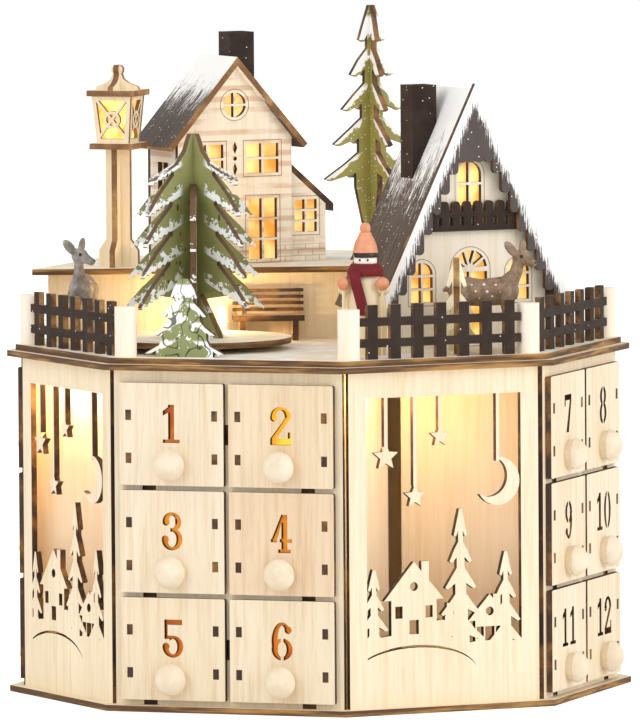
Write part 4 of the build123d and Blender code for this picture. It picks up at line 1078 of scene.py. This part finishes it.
@dataclass
class DeckFurniture(Assembly):
    """Platform, fences, posts, bench and turning plate."""

    def build(self) -> None:
        """Dress what stands on the deck."""
        shop = self.shop
        self.sheets(shop.ply, shop.edge, "platform_walls")
        self.sheets(shop.snow, shop.plate_edge, "platform_top")
        self.sheets(shop.dark, shop.dark_edge, "fence_panels")
        self.plain(shop.turned, "fence_posts")
        bench = Ply("bench_wood", pale="D9BE94", dark="A98456").build()
        self.sheets(bench, shop.edge, "bench")
        self.sheets(shop.snow, shop.plate_edge, "turning_plate")
        nylon = Mottled("white_nylon", "E9E7E0", "DAD7CD", rough=0.4).build()
        self.plain(nylon, "turntable_bush")


@dataclass
class Firs(Assembly):
    """The four firs."""

    turn_x: float = -41.0
    turn_y: float = -72.0
    turn_set: float = 19.0
    board_line: float = 271.61
    board_tier: float = 14.56
    wing_line: float = 253.97
    wing_tier: float = 14.63

    def build(self) -> None:
        """Dress the firs."""
        green_edge = Burnt("fir_edge", char="3B2615", tan="A77445").build()
        tall = FirBoard("tall_fir_paint", 5.0, 70.0, 343.0, 17.68, 7.36, 4.91, 3.8, green="A29A52",
                        shade="8A843C")
        small = FirBoard("small_fir_paint", 99.0, -76.0, 224.0, 14.08, 5.14, 3.43, 3.5, green="EADFAE",
                         shade="D6CA92", snow="FFF6DA", blobs=0.12)
        front = FirBoard("front_fir_paint", -26.0, -128.0, 215.0, 9.36, 7.0, 4.67, 4.0, green="9AA06A",
                         shade="7F8852", blobs=0.13, seams=0.85)
        for name, finish, cut in (("tall_fir", tall, green_edge), ("small_fir", small, self.shop.toasted),
                                  ("front_fir", front, green_edge)):
            self.sheets(finish.build(), cut, name)
        self.turning()

    def turning(self) -> None:
        """Dress the turning fir, whose snow follows the lower edges of its boards and wings."""
        finishes = []
        kinds = (("board", self.board_line, self.board_tier), ("wing", self.wing_line, self.wing_tier))
        for name, line, tier in kinds:
            spot = (self.turn_x, self.turn_y, line, tier)
            face = DroopingFir(f"turning_fir_{name}", *spot)
            cut = DroopingFir(f"turning_fir_{name}_edge", *spot, "7A5532", "3B2615", 0.45)
            finishes += [face.build(), cut.build()]
        axis = Vector((self.turn_x, self.turn_y, 0.0))

        def choose(surface: Surface) -> int:
            """Finish of a board or wing, on its face or its cut edge."""
            toward = surface.normal if surface.sheet else surface.centre - axis
            bearing = math.degrees(math.atan2(toward.y, toward.x)) - self.turn_set
            return sheet_or_cut(surface) + (2 if abs(bearing % 90.0 - 45.0) > 22.5 else 0)

        PackedNode(self.nodes["turning_fir"]).dress(finishes, choose)


@dataclass
class House(Assembly):
    """Rear house with its lean-to, and the chimneys of both houses."""

    x: float = -50.0
    y: float = 16.0
    turn: float = 45.0
    half: float = 32.0
    depth: float = 36.0
    pitch: float = 49.0
    column: float = 15.5

    def build(self) -> None:
        """Dress the house and light its windows."""
        lines = (FrameLine(0.0, 6.3, 0.0, 81.0, whole=1.0), FrameLine(self.column, 9.0, 46.0, head=61.0),
                 FrameLine(self.column, 8.0, 2.0, head=33.0), FrameLine(41.2, 6.25, 15.0, head=31.5))
        wall = LogWall("house_wall", self.x, self.y, PLATFORM, self.turn, lines).build()
        roof = Roof("house_roof_snow", self.x, self.y, PLATFORM, self.turn, self.pitch, 28.0).build()
        self.sheets(wall, self.shop.edge, "house_walls")
        self.sheets(roof, self.shop.toasted, "house_roof")

        def lean_to(surface: Surface) -> int:
            """Finish of the annexe: wall, cut edge or roof."""
            if abs(surface.normal.z) > 0.3 and surface.sheet:
                return 2
            return sheet_or_cut(surface)

        PackedNode(self.nodes["house_lean_to"]).dress([wall, self.shop.edge, roof], lean_to)
        brown = Dusted("chimney_paint", "2F241F", "40322B", amount=0.03).build()
        self.plain(brown, "chimneys")
        self.windows()

    def windows(self) -> None:
        """Warm films behind the windows."""
        inside = PLY + BEHIND
        panes = [(0.0, 8.0, 73.0, 89.0, inside)]
        for side in (-1, 1):
            panes.append((side * self.column, 10.5, 44.5, 62.5, inside))
            panes.append((side * self.column, 9.5, 0.6, 34.5, inside))
        panes.append((self.half + 9.75, 7.75, 13.5, 33.0, 2 * inside))
        film = Glow("house_window_glow", "FFD98A", "E79A3A", 0.85).build()
        place = placed(self.x, self.y, PLATFORM, self.turn)
        films("house_window_films", panes, place, film)
        side_pane = (-self.depth / 2, 7.0, 34.5, 53.5, inside - self.half)
        films("house_side_film", [side_pane], place @ Matrix.Rotation(math.radians(-90), 4, "Z"), film)


@dataclass
class Chalet(Assembly):
    """Steep chalet with its stepped gable board and balcony."""

    x: float = 89.6
    y: float = -26.0
    turn: float = 45.0
    pitch: float = 64.0
    apex: float = 123.0
    column: float = 27.0

    def build(self) -> None:
        """Dress the chalet and light its windows."""
        slope = math.radians(self.pitch)
        top = DECK + self.apex + PLY / math.cos(slope) + 2.5
        roof = Roof("chalet_roof_snow", self.x, self.y, DECK, self.turn, self.pitch, 52.0).build()
        fascia = SnowEdgeBoard("chalet_gable_snow", self.x, self.y, self.turn, top, self.pitch, 11.5).build()
        lines = (FrameLine(0.0, 6.5, 71.0, 86.5), FrameLine(0.0, 9.5, 2.0, 39.0),
                 FrameLine(self.column, 6.0, 23.0, 37.0))
        wall = LogWall("chalet_wall", self.x, self.y, DECK, self.turn, lines, band=0.0, stone=0.0).build()
        self.sheets(wall, self.shop.edge, "chalet_walls")
        self.sheets(roof, self.shop.dark_edge, "chalet_roof")
        self.sheets(fascia, self.shop.dark_edge, "chalet_fascia")
        self.sheets(self.shop.dark, self.shop.dark_edge, "chalet_balcony")
        inside = PLY + BEHIND
        panes = [(0.0, 8.0, 69.0, 94.5, inside), (0.0, 11.0, 0.6, 50.0, inside)]
        panes += [(side * self.column, 7.5, 21.0, 44.5, inside) for side in (-1, 1)]
        film = Glow("chalet_window_glow", "FFD880", "E8A03C", 0.9).build()
        films("chalet_window_films", panes, placed(self.x, self.y, DECK, self.turn), film)


@dataclass
class StreetLamp(Assembly):
    """Crossed post with a fretted lantern."""

    x: float = -101.1
    y: float = -16.5
    base: float = 276.0
    turn: float = 0.0
    film_low: float = 6.2
    film_high: float = 8.1
    film_tall: float = 23.4

    def build(self) -> None:
        """Dress the lamp and light its lantern."""
        self.sheets(self.shop.ply, self.shop.toasted, "lamp_post")
        lantern = PackedNode(self.nodes["lantern"])
        panel = PackedNode(self.nodes["lantern"], 2.0)
        flags = [a.sheet or b.sheet for a, b in zip(lantern.surfaces, panel.surfaces)]
        lantern.surfaces = [Surface(s.centre, s.normal, f) for s, f in zip(lantern.surfaces, flags)]
        lantern.dress([self.shop.ply, self.shop.toasted], sheet_or_cut)
        mesh = bmesh.new()
        lathe(mesh, [(0.0, 8.6), (3.2, 9.2), (4.4, 11.5), (4.2, 15.0), (2.6, 18.0), (0.0, 18.8)])
        glow = Glow("lantern_glow", "FFE9A8", "FFC766", 1.6).build()
        bulb = finished("lantern_flame_bulb", mesh, placed(self.x, self.y, self.base), [glow])
        settle(bulb, CARCASS)
        self.panes()

    def panes(self) -> None:
        """Lit film behind the fretted sides."""
        mesh = bmesh.new()
        corner = math.sqrt(2.0)
        slope = [(self.film_low * corner, 0.4), (self.film_high * corner, self.film_tall)]
        sides = lathe(mesh, slope, segments=4)
        bmesh.ops.recalc_face_normals(mesh, faces=sides)
        bmesh.ops.solidify(mesh, geom=sides, thickness=FILM)
        film = Glow("lantern_film_glow", "FFE48A", "F2B545", 0.95, 160.0).build()
        place = placed(self.x, self.y, self.base, self.turn + 45.0)
        settle(finished("lantern_films", mesh, place, [film], 30.0), CARCASS)


@dataclass
class Deer:
    """One cast deer, facing +X before it is turned."""

    name: str
    x: float
    y: float
    turn: float
    head_turn: float
    coat: Mottled
    belly: str
    spots: int
    slim: float = 1.0
    head_size: float = 1.15
    neck_top: tuple[float, float, float] = (17.0, 0.0, 45.5)
    voxel: float = 0.55

    def limbs(self) -> list[tuple[tuple[float, float, float], tuple[float, float, float], float, float]]:
        """Trunk, neck and legs as tapered rods."""
        trunk = [((-11.5, 0, 30.0), (-2.0, 0, 29.0), 7.4, 6.9), ((-2.0, 0, 29.0), (9.5, 0, 30.0), 6.9, 7.2),
                 ((9.5, 0, 31.0), (15.0, 0, 38.5), 5.8, 3.4), ((15.0, 0, 38.5), self.neck_top, 3.4, 2.9),
                 ((-17.0, 0, 33.0), (-20.5, 0, 30.5), 2.0, 1.2)]
        legs = []
        for side in (-1, 1):
            legs += [((10.0, side * 3.6, 27.0), (11.0, side * 3.8, 14.0), 3.6, 1.7),
                     ((11.0, side * 3.8, 14.0), (11.3, side * 3.8, 1.6), 1.7, 1.4),
                     ((-12.0, side * 3.8, 28.0), (-14.8, side * 4.0, 14.0), 5.0, 1.9),
                     ((-14.8, side * 4.0, 14.0), (-13.2, side * 4.0, 1.6), 1.9, 1.4)]
        return trunk + legs

    def build(self) -> bpy.types.Object:
        """Model the deer.

        Returns:
            The finished piece.
        """
        mesh = bmesh.new()
        for start, end, first, last in self.limbs():
            rod(mesh, start, end, first * self.slim, last * self.slim)
            ball(mesh, start, first * self.slim)
            ball(mesh, end, last * self.slim)
        head = placed(*self.neck_top, self.head_turn) @ Matrix.Scale(self.head_size, 4)
        skull = bmesh.new()
        ball(skull, (0.6, 0, 0.8), 3.5, squash=(1.15, 0.92, 1.0))
        rod(skull, (2.2, 0, 0.2), (6.2, 0, -1.5), 2.6, 1.8)
        ball(skull, (6.4, 0, -1.6), 1.85)
        for side in (-1, 1):
            splay = Matrix.Rotation(side * math.radians(-52), 4, "X")
            lean = Matrix.Rotation(math.radians(-12), 4, "Y")
            leaf = splay @ lean @ Matrix.Diagonal((1.2, 2.6, 5.2, 1.0))
            made = bmesh.ops.create_uvsphere(skull, u_segments=20, v_segments=12, radius=1.0)
            bmesh.ops.transform(skull, matrix=Matrix.Translation((-1.4, side * 5.3, 4.8)) @ leaf,
                                verts=made["verts"])
        skull.transform(head)
        scratch = bpy.data.meshes.new(self.name + "_head")
        skull.to_mesh(scratch)
        skull.free()
        mesh.from_mesh(scratch)
        bpy.data.meshes.remove(scratch)
        piece = finished(self.name, mesh, Matrix(), [])
        self.fuse(piece)
        place = placed(self.x, self.y, DECK, self.turn)
        piece.data.transform(Matrix.Scale(MM, 4) @ place @ Matrix.Scale(1 / MM, 4))
        piece.data.materials.append(self.coat.build())
        settle(piece, CARCASS)
        self.details(place, head)
        return piece

    def fuse(self, piece: bpy.types.Object) -> None:
        """Run the limbs together into one smooth skin."""
        remesh = piece.modifiers.new("fuse", "REMESH")
        remesh.mode = "VOXEL"
        remesh.voxel_size = self.voxel * MM
        soften = piece.modifiers.new("soften", "SMOOTH")
        soften.iterations = 9
        soften.factor = 0.5
        graph = bpy.context.evaluated_depsgraph_get()
        skin = bpy.data.meshes.new_from_object(piece.evaluated_get(graph))
        old = piece.data
        piece.modifiers.clear()
        piece.data = skin
        bpy.data.meshes.remove(old)
        skin.shade_smooth()

    def details(self, place: Matrix, head: Matrix) -> None:
        """Eyes, nose and the pale spots on the flanks."""
        mesh = bmesh.new()
        for side in (-1, 1):
            ball(mesh, head @ Vector((2.4, side * 2.55, 1.5)), 0.85, 0, segments=14)
        ball(mesh, head @ Vector((7.9, 0, -1.3)), 0.75, 0, squash=(0.7, 1.0, 0.8), segments=14)
        dots = random.Random(7)
        for side in (-1, 1):
            for index in range(self.spots):
                along = -13.0 + 23.0 * (index + dots.random() * 0.6) / max(self.spots, 1)
                lift = (3.5, 0.6, -2.2)[index % 3] + dots.uniform(-0.5, 0.5)
                depth = self.slim * math.sqrt(max(7.0 ** 2 - lift ** 2, 1.0))
                spot = (along, side * (depth - 0.35), 29.6 + lift * self.slim)
                ball(mesh, spot, 0.8, 1, squash=(1.1, 0.55, 0.9), segments=10)
        black = Mottled(self.name + "_eye", "17110D", "241A14", rough=0.2).build()
        pale = Mottled(self.name + "_spot", self.belly, "F1EBDD", rough=0.6).build()
        settle(finished(self.name + "_details", mesh, place, [black, pale]), CARCASS)


@dataclass
class Doll:
    """Turned wooden doll with a felt scarf and two poles."""

    x: float = 56.0
    y: float = -90.0
    turn: float = 10.0
    tall: float = 41.5
    head: float = 5.8
    wide: float = 10.6

    def build(self) -> None:
        """Model the doll and its scarf."""
        place = placed(self.x, self.y, DECK, self.turn)
        mesh = bmesh.new()
        body = [(0.0, 0.0), (0.87, 0.0), (0.95, 0.026), (1.0, 0.3), (0.96, 0.6), (0.84, 0.82), (0.63, 0.94),
                (0.4, 0.998), (0.0, 1.0)]
        lathe(mesh, smooth_profile([(out * self.wide, up * self.tall) for out, up in body]), 0)
        middle = self.tall + self.head * 0.9
        ball(mesh, (0, 0, middle), self.head, 1, segments=36)
        brim = self.tall + self.head * 1.2
        cone = [(0.0, 2.2), (6.05, 2.4), (6.2, 3.2), (5.2, 7.4), (3.4, 11.0), (2.6, 12.5), (0.0, 12.8)]
        bobble = [(0.0, 12.1), (2.1, 12.4), (2.7, 14.4), (2.0, 16.6), (0.0, 17.2)]
        for shape in (cone, bobble):
            lathe(mesh, smooth_profile(raised(shape, brim)), 2)
        band = [(0.0, 0.0), (6.0, 0.0), (6.17, 0.5), (6.17, 2.1), (6.0, 2.6), (0.0, 2.6)]
        lathe(mesh, raised(band, brim), 3)
        for side in (-1, 1):
            ball(mesh, (side * 2.0, -self.head + 0.32, middle + 0.6), 0.58, 3, segments=14)
            hand = Vector((side * 9.75, -7.95, 35.7))
            ball(mesh, hand, 3.4, 2, segments=28)
            shoulder = Vector((side * 7.6, -0.8, 33.6))
            wrist = Vector((side * 10.0, -5.2, 33.0))
            rod(mesh, shoulder, wrist, 3.7, 3.1, 0, 28)
            ball(mesh, shoulder, 3.7, 0)
            ball(mesh, wrist, 3.1, 0)
            rod(mesh, (hand.x, hand.y, 0.0), (hand.x, hand.y, 33.5), 0.9, 0.9, 4)
        ball(mesh, (0, 0.25 - self.head, middle - 2.0), 0.55, 5, segments=14)
        paints = [Mottled("doll_body", "F3E3C3", "E8D2A8", rough=0.4, stretch=(1.0, 1.0, 0.15)),
                  Mottled("doll_face", "FBF3E6", "F5E8D6", rough=0.35),
                  Mottled("doll_peach", "E39B74", "D98A63", rough=0.35),
                  Mottled("doll_black", "1E1714", "2B211C", rough=0.35),
                  Mottled("doll_pole", "F2E2BE", "E2CB9A", rough=0.5, stretch=(1.0, 1.0, 0.1)),
                  Mottled("doll_mouth", "B4392E", "A52F26", rough=0.35)]
        piece = finished("doll_figure", mesh, place, [paint.build() for paint in paints])
        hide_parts("doll")
        settle(piece, CARCASS)
        self.scarf(place)

    def scarf(self, place: Matrix) -> None:
        """Felt band wound round the neck with one hanging tail."""
        mesh = bmesh.new()
        low = self.tall - 2.0
        lower = [(6.0, 0.6), (8.6, -0.2), (9.2, 1.5), (8.4, 3.6), (6.2, 4.6), (5.2, 4.1)]
        upper = [(4.9, 3.4), (7.5, 3.0), (7.9, 4.5), (7.0, 5.8), (5.3, 6.0)]
        for shape in (lower, upper):
            lathe(mesh, smooth_profile(raised(shape, low)))
        strip = bmesh.ops.create_grid(mesh, x_segments=5, y_segments=16, size=0.5)
        for vert in strip["verts"]:
            share = 0.5 - vert.co.y
            drop = share * 21.0
            out = 8.4 + 2.8 * math.sin(min(share * 2.6, 1.0) * math.pi / 2) + 0.25 * math.sin(share * 9.0)
            vert.co = Vector((-4.4 + vert.co.x * 5.4 + share * 5.4, -out, low + 2.6 - drop))
        faces = list({face for vert in strip["verts"] for face in vert.link_faces})
        bmesh.ops.solidify(mesh, geom=faces, thickness=1.1)
        felt = Mottled("red_felt", "7E2024", "63161B", scale=900.0, rough=0.95, relief=0.0006).build()
        piece = finished("doll_scarf_felt", mesh, place, [felt], 60.0)
        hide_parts("doll_scarf")
        settle(piece, CARCASS)


@dataclass
class Electrics(Assembly):
    """Lamps, battery holder, cells and switch."""

    post_height: float = 9.9

    def build(self) -> None:
        """Dress the electric pieces."""
        lens = Glow("lamp_lens_glow", "FFE7A6", "FFD27A", 3.0).build()
        black = Mottled("black_plastic", "1C1B1A", "262523", rough=0.45).build()
        steel = Mottled("cell_jacket", "B9BCC0", "A7AAAE", scale=60.0, rough=0.32).build()

        def lamp(surface: Surface) -> int:
            """Finish of a lamp: its lens, or the post under the lamp on the deck."""
            x, y, z = surface.centre
            return 1 if DECK < z < DECK + self.post_height and max(x, y) < 0 else 0

        PackedNode(self.nodes["led_lamps"]).dress([lens, self.shop.turned], lamp)
        self.plain(black, "battery_holder", "power_switch")
        self.plain(steel, "battery_cells")


@dataclass(frozen=True)
class LampLight:
    """Small warm light at one of the object's own lamps."""

    name: str
    x: float
    y: float
    z: float
    watts: float

    def build(self) -> None:
        """Add the light."""
        data = bpy.data.lights.new(self.name, "POINT")
        data.energy = self.watts
        data.color = tone("FFD79A")[:3]
        data.shadow_soft_size = 0.004
        light = bpy.data.objects.new(self.name, data)
        light.location = (self.x * MM, self.y * MM, self.z * MM)
        bpy.context.scene.collection.objects.link(light)


@dataclass
class Studio:
    """Floor, soft lights and the photograph's camera."""

    azimuth: float = 19.1
    elevation: float = 4.1
    distance: float = 6.0
    roll: float = -0.4
    aim: tuple[float, float, float] = (0.0005, 0.0002, 0.1652)
    lens: float = 666.4
    sensor: float = 36.0
    key_watts: float = 16.0
    fill_watts: float = 21.0
    lamps: tuple[LampLight, ...] = (
        LampLight("pocket_right_light", 66.0, -105.0, 158.0, 0.05),
        LampLight("pocket_left_light", -105.0, -66.0, 158.0, 0.11),
        LampLight("pocket_rear_right_light", 105.0, 66.0, 158.0, 0.05),
        LampLight("pocket_rear_left_light", -66.0, 105.0, 158.0, 0.05),
        LampLight("deck_lamp_light", -46.0, -40.0, 192.0, 0.09),
        LampLight("lantern_light", -101.1, -16.5, 290.0, 0.03))

    def build(self) -> None:
        """Set the stage."""
        self.world()
        self.floor()
        self.area("key_light", (-1.1, -1.7, 1.5), 1.6, self.key_watts)
        self.area("fill_light", (2.2, -0.5, 0.9), 1.6, self.fill_watts)
        for lamp in self.lamps:
            lamp.build()
        self.camera()

    def world(self) -> None:
        """White surroundings that light the object softly."""
        world = bpy.data.worlds.new("studio")
        world.use_nodes = True
        bpy.context.scene.world = world
        graph = Graph(world.node_tree)
        background = world.node_tree.nodes["Background"]
        path = graph.add("LightPath")
        seen = graph.most(path.outputs["Is Camera Ray"], path.outputs["Is Glossy Ray"])
        seen = graph.most(seen, path.outputs["Is Transmission Ray"])
        background.inputs["Color"].default_value = (1, 1, 1, 1)
        world.node_tree.links.new(graph.scaled(seen, 0.2, 0.8), background.inputs["Strength"])
        bpy.context.scene.view_settings.view_transform = "Standard"

    def floor(self) -> None:
        """Pale floor that keeps the shadow."""
        mesh = bmesh.new()
        bmesh.ops.create_grid(mesh, x_segments=8, y_segments=8, size=6000.0)
        paint = Paintable.start("floor_white", 0.9)
        paint.colour(tone("FAFAFA"))
        path = paint.graph.add("LightPath").outputs["Is Camera Ray"]
        paint.glow((1.0, 1.0, 1.0, 1.0), 0.0)
        strength = paint.graph.times(path, 0.45)
        paint.graph.link(strength, paint.shader.inputs["Emission Strength"])
        finished("floor", mesh, Matrix.Translation((0, 0, -0.2)), [paint.material])

    def area(self, name: str, place: tuple[float, float, float], size: float, watts: float) -> None:
        """Add a soft light aimed at the object.

        Args:
            name: light name.
            place: position in metres.
            size: side of the light in metres.
            watts: power.
        """
        data = bpy.data.lights.new(name, "AREA")
        data.size = size
        data.energy = watts
        light = bpy.data.objects.new(name, data)
        light.location = place
        light.rotation_euler = (Vector(self.aim) - Vector(place)).to_track_quat("-Z", "Y").to_euler()
        bpy.context.scene.collection.objects.link(light)

    def camera(self) -> None:
        """Place the photograph's camera."""
        around, above = math.radians(self.azimuth), math.radians(self.elevation)
        level = math.cos(above)
        away = Vector((math.sin(around) * level, -math.cos(around) * level, math.sin(above)))
        data = bpy.data.cameras.new("photo_camera")
        data.sensor_fit = "HORIZONTAL"
        data.sensor_width = self.sensor
        data.lens = self.lens
        data.clip_end = 50.0
        camera = bpy.data.objects.new("photo_camera", data)
        turn = (-away).to_track_quat("-Z", "Y").to_matrix().to_4x4()
        turn = turn @ Matrix.Rotation(math.radians(self.roll), 4, "Z")
        camera.matrix_world = Matrix.Translation(Vector(self.aim) + away * self.distance) @ turn
        bpy.context.scene.collection.objects.link(camera)
        bpy.context.scene.camera = camera


def figures() -> None:
    """Model the two deer and the doll."""
    right = Deer("right_deer", 106.0, -51.0, 20.0, -30.0,
                 Mottled("right_deer_coat", "A08468", "6F5844", scale=260.0, relief=0.0004), "F4EFE6", 12)
    left = Deer("left_deer", -104.0, -64.0, -75.0, 65.0,
                Mottled("left_deer_coat", "ABA39A", "776E66", scale=260.0, relief=0.0004), "E6E0D6", 6, 0.78)
    first = right.build()
    second = left.build()
    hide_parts("deer_pair")
    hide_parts("deer_pair")
    Doll().build()


def main() -> None:
    """Build every sub-assembly in order."""
    logging.basicConfig(level=logging.INFO, format="%(name)s: %(message)s")
    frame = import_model()
    nodes = frame["nodes"]
    shop = Workshop.open()
    for assembly in (Carcass, Drawers, DeckFurniture, Firs, House, Chalet, StreetLamp, Electrics):
        assembly(shop, nodes).build()
    figures()
    Studio().build()


if __name__ == "__main__":
    main()
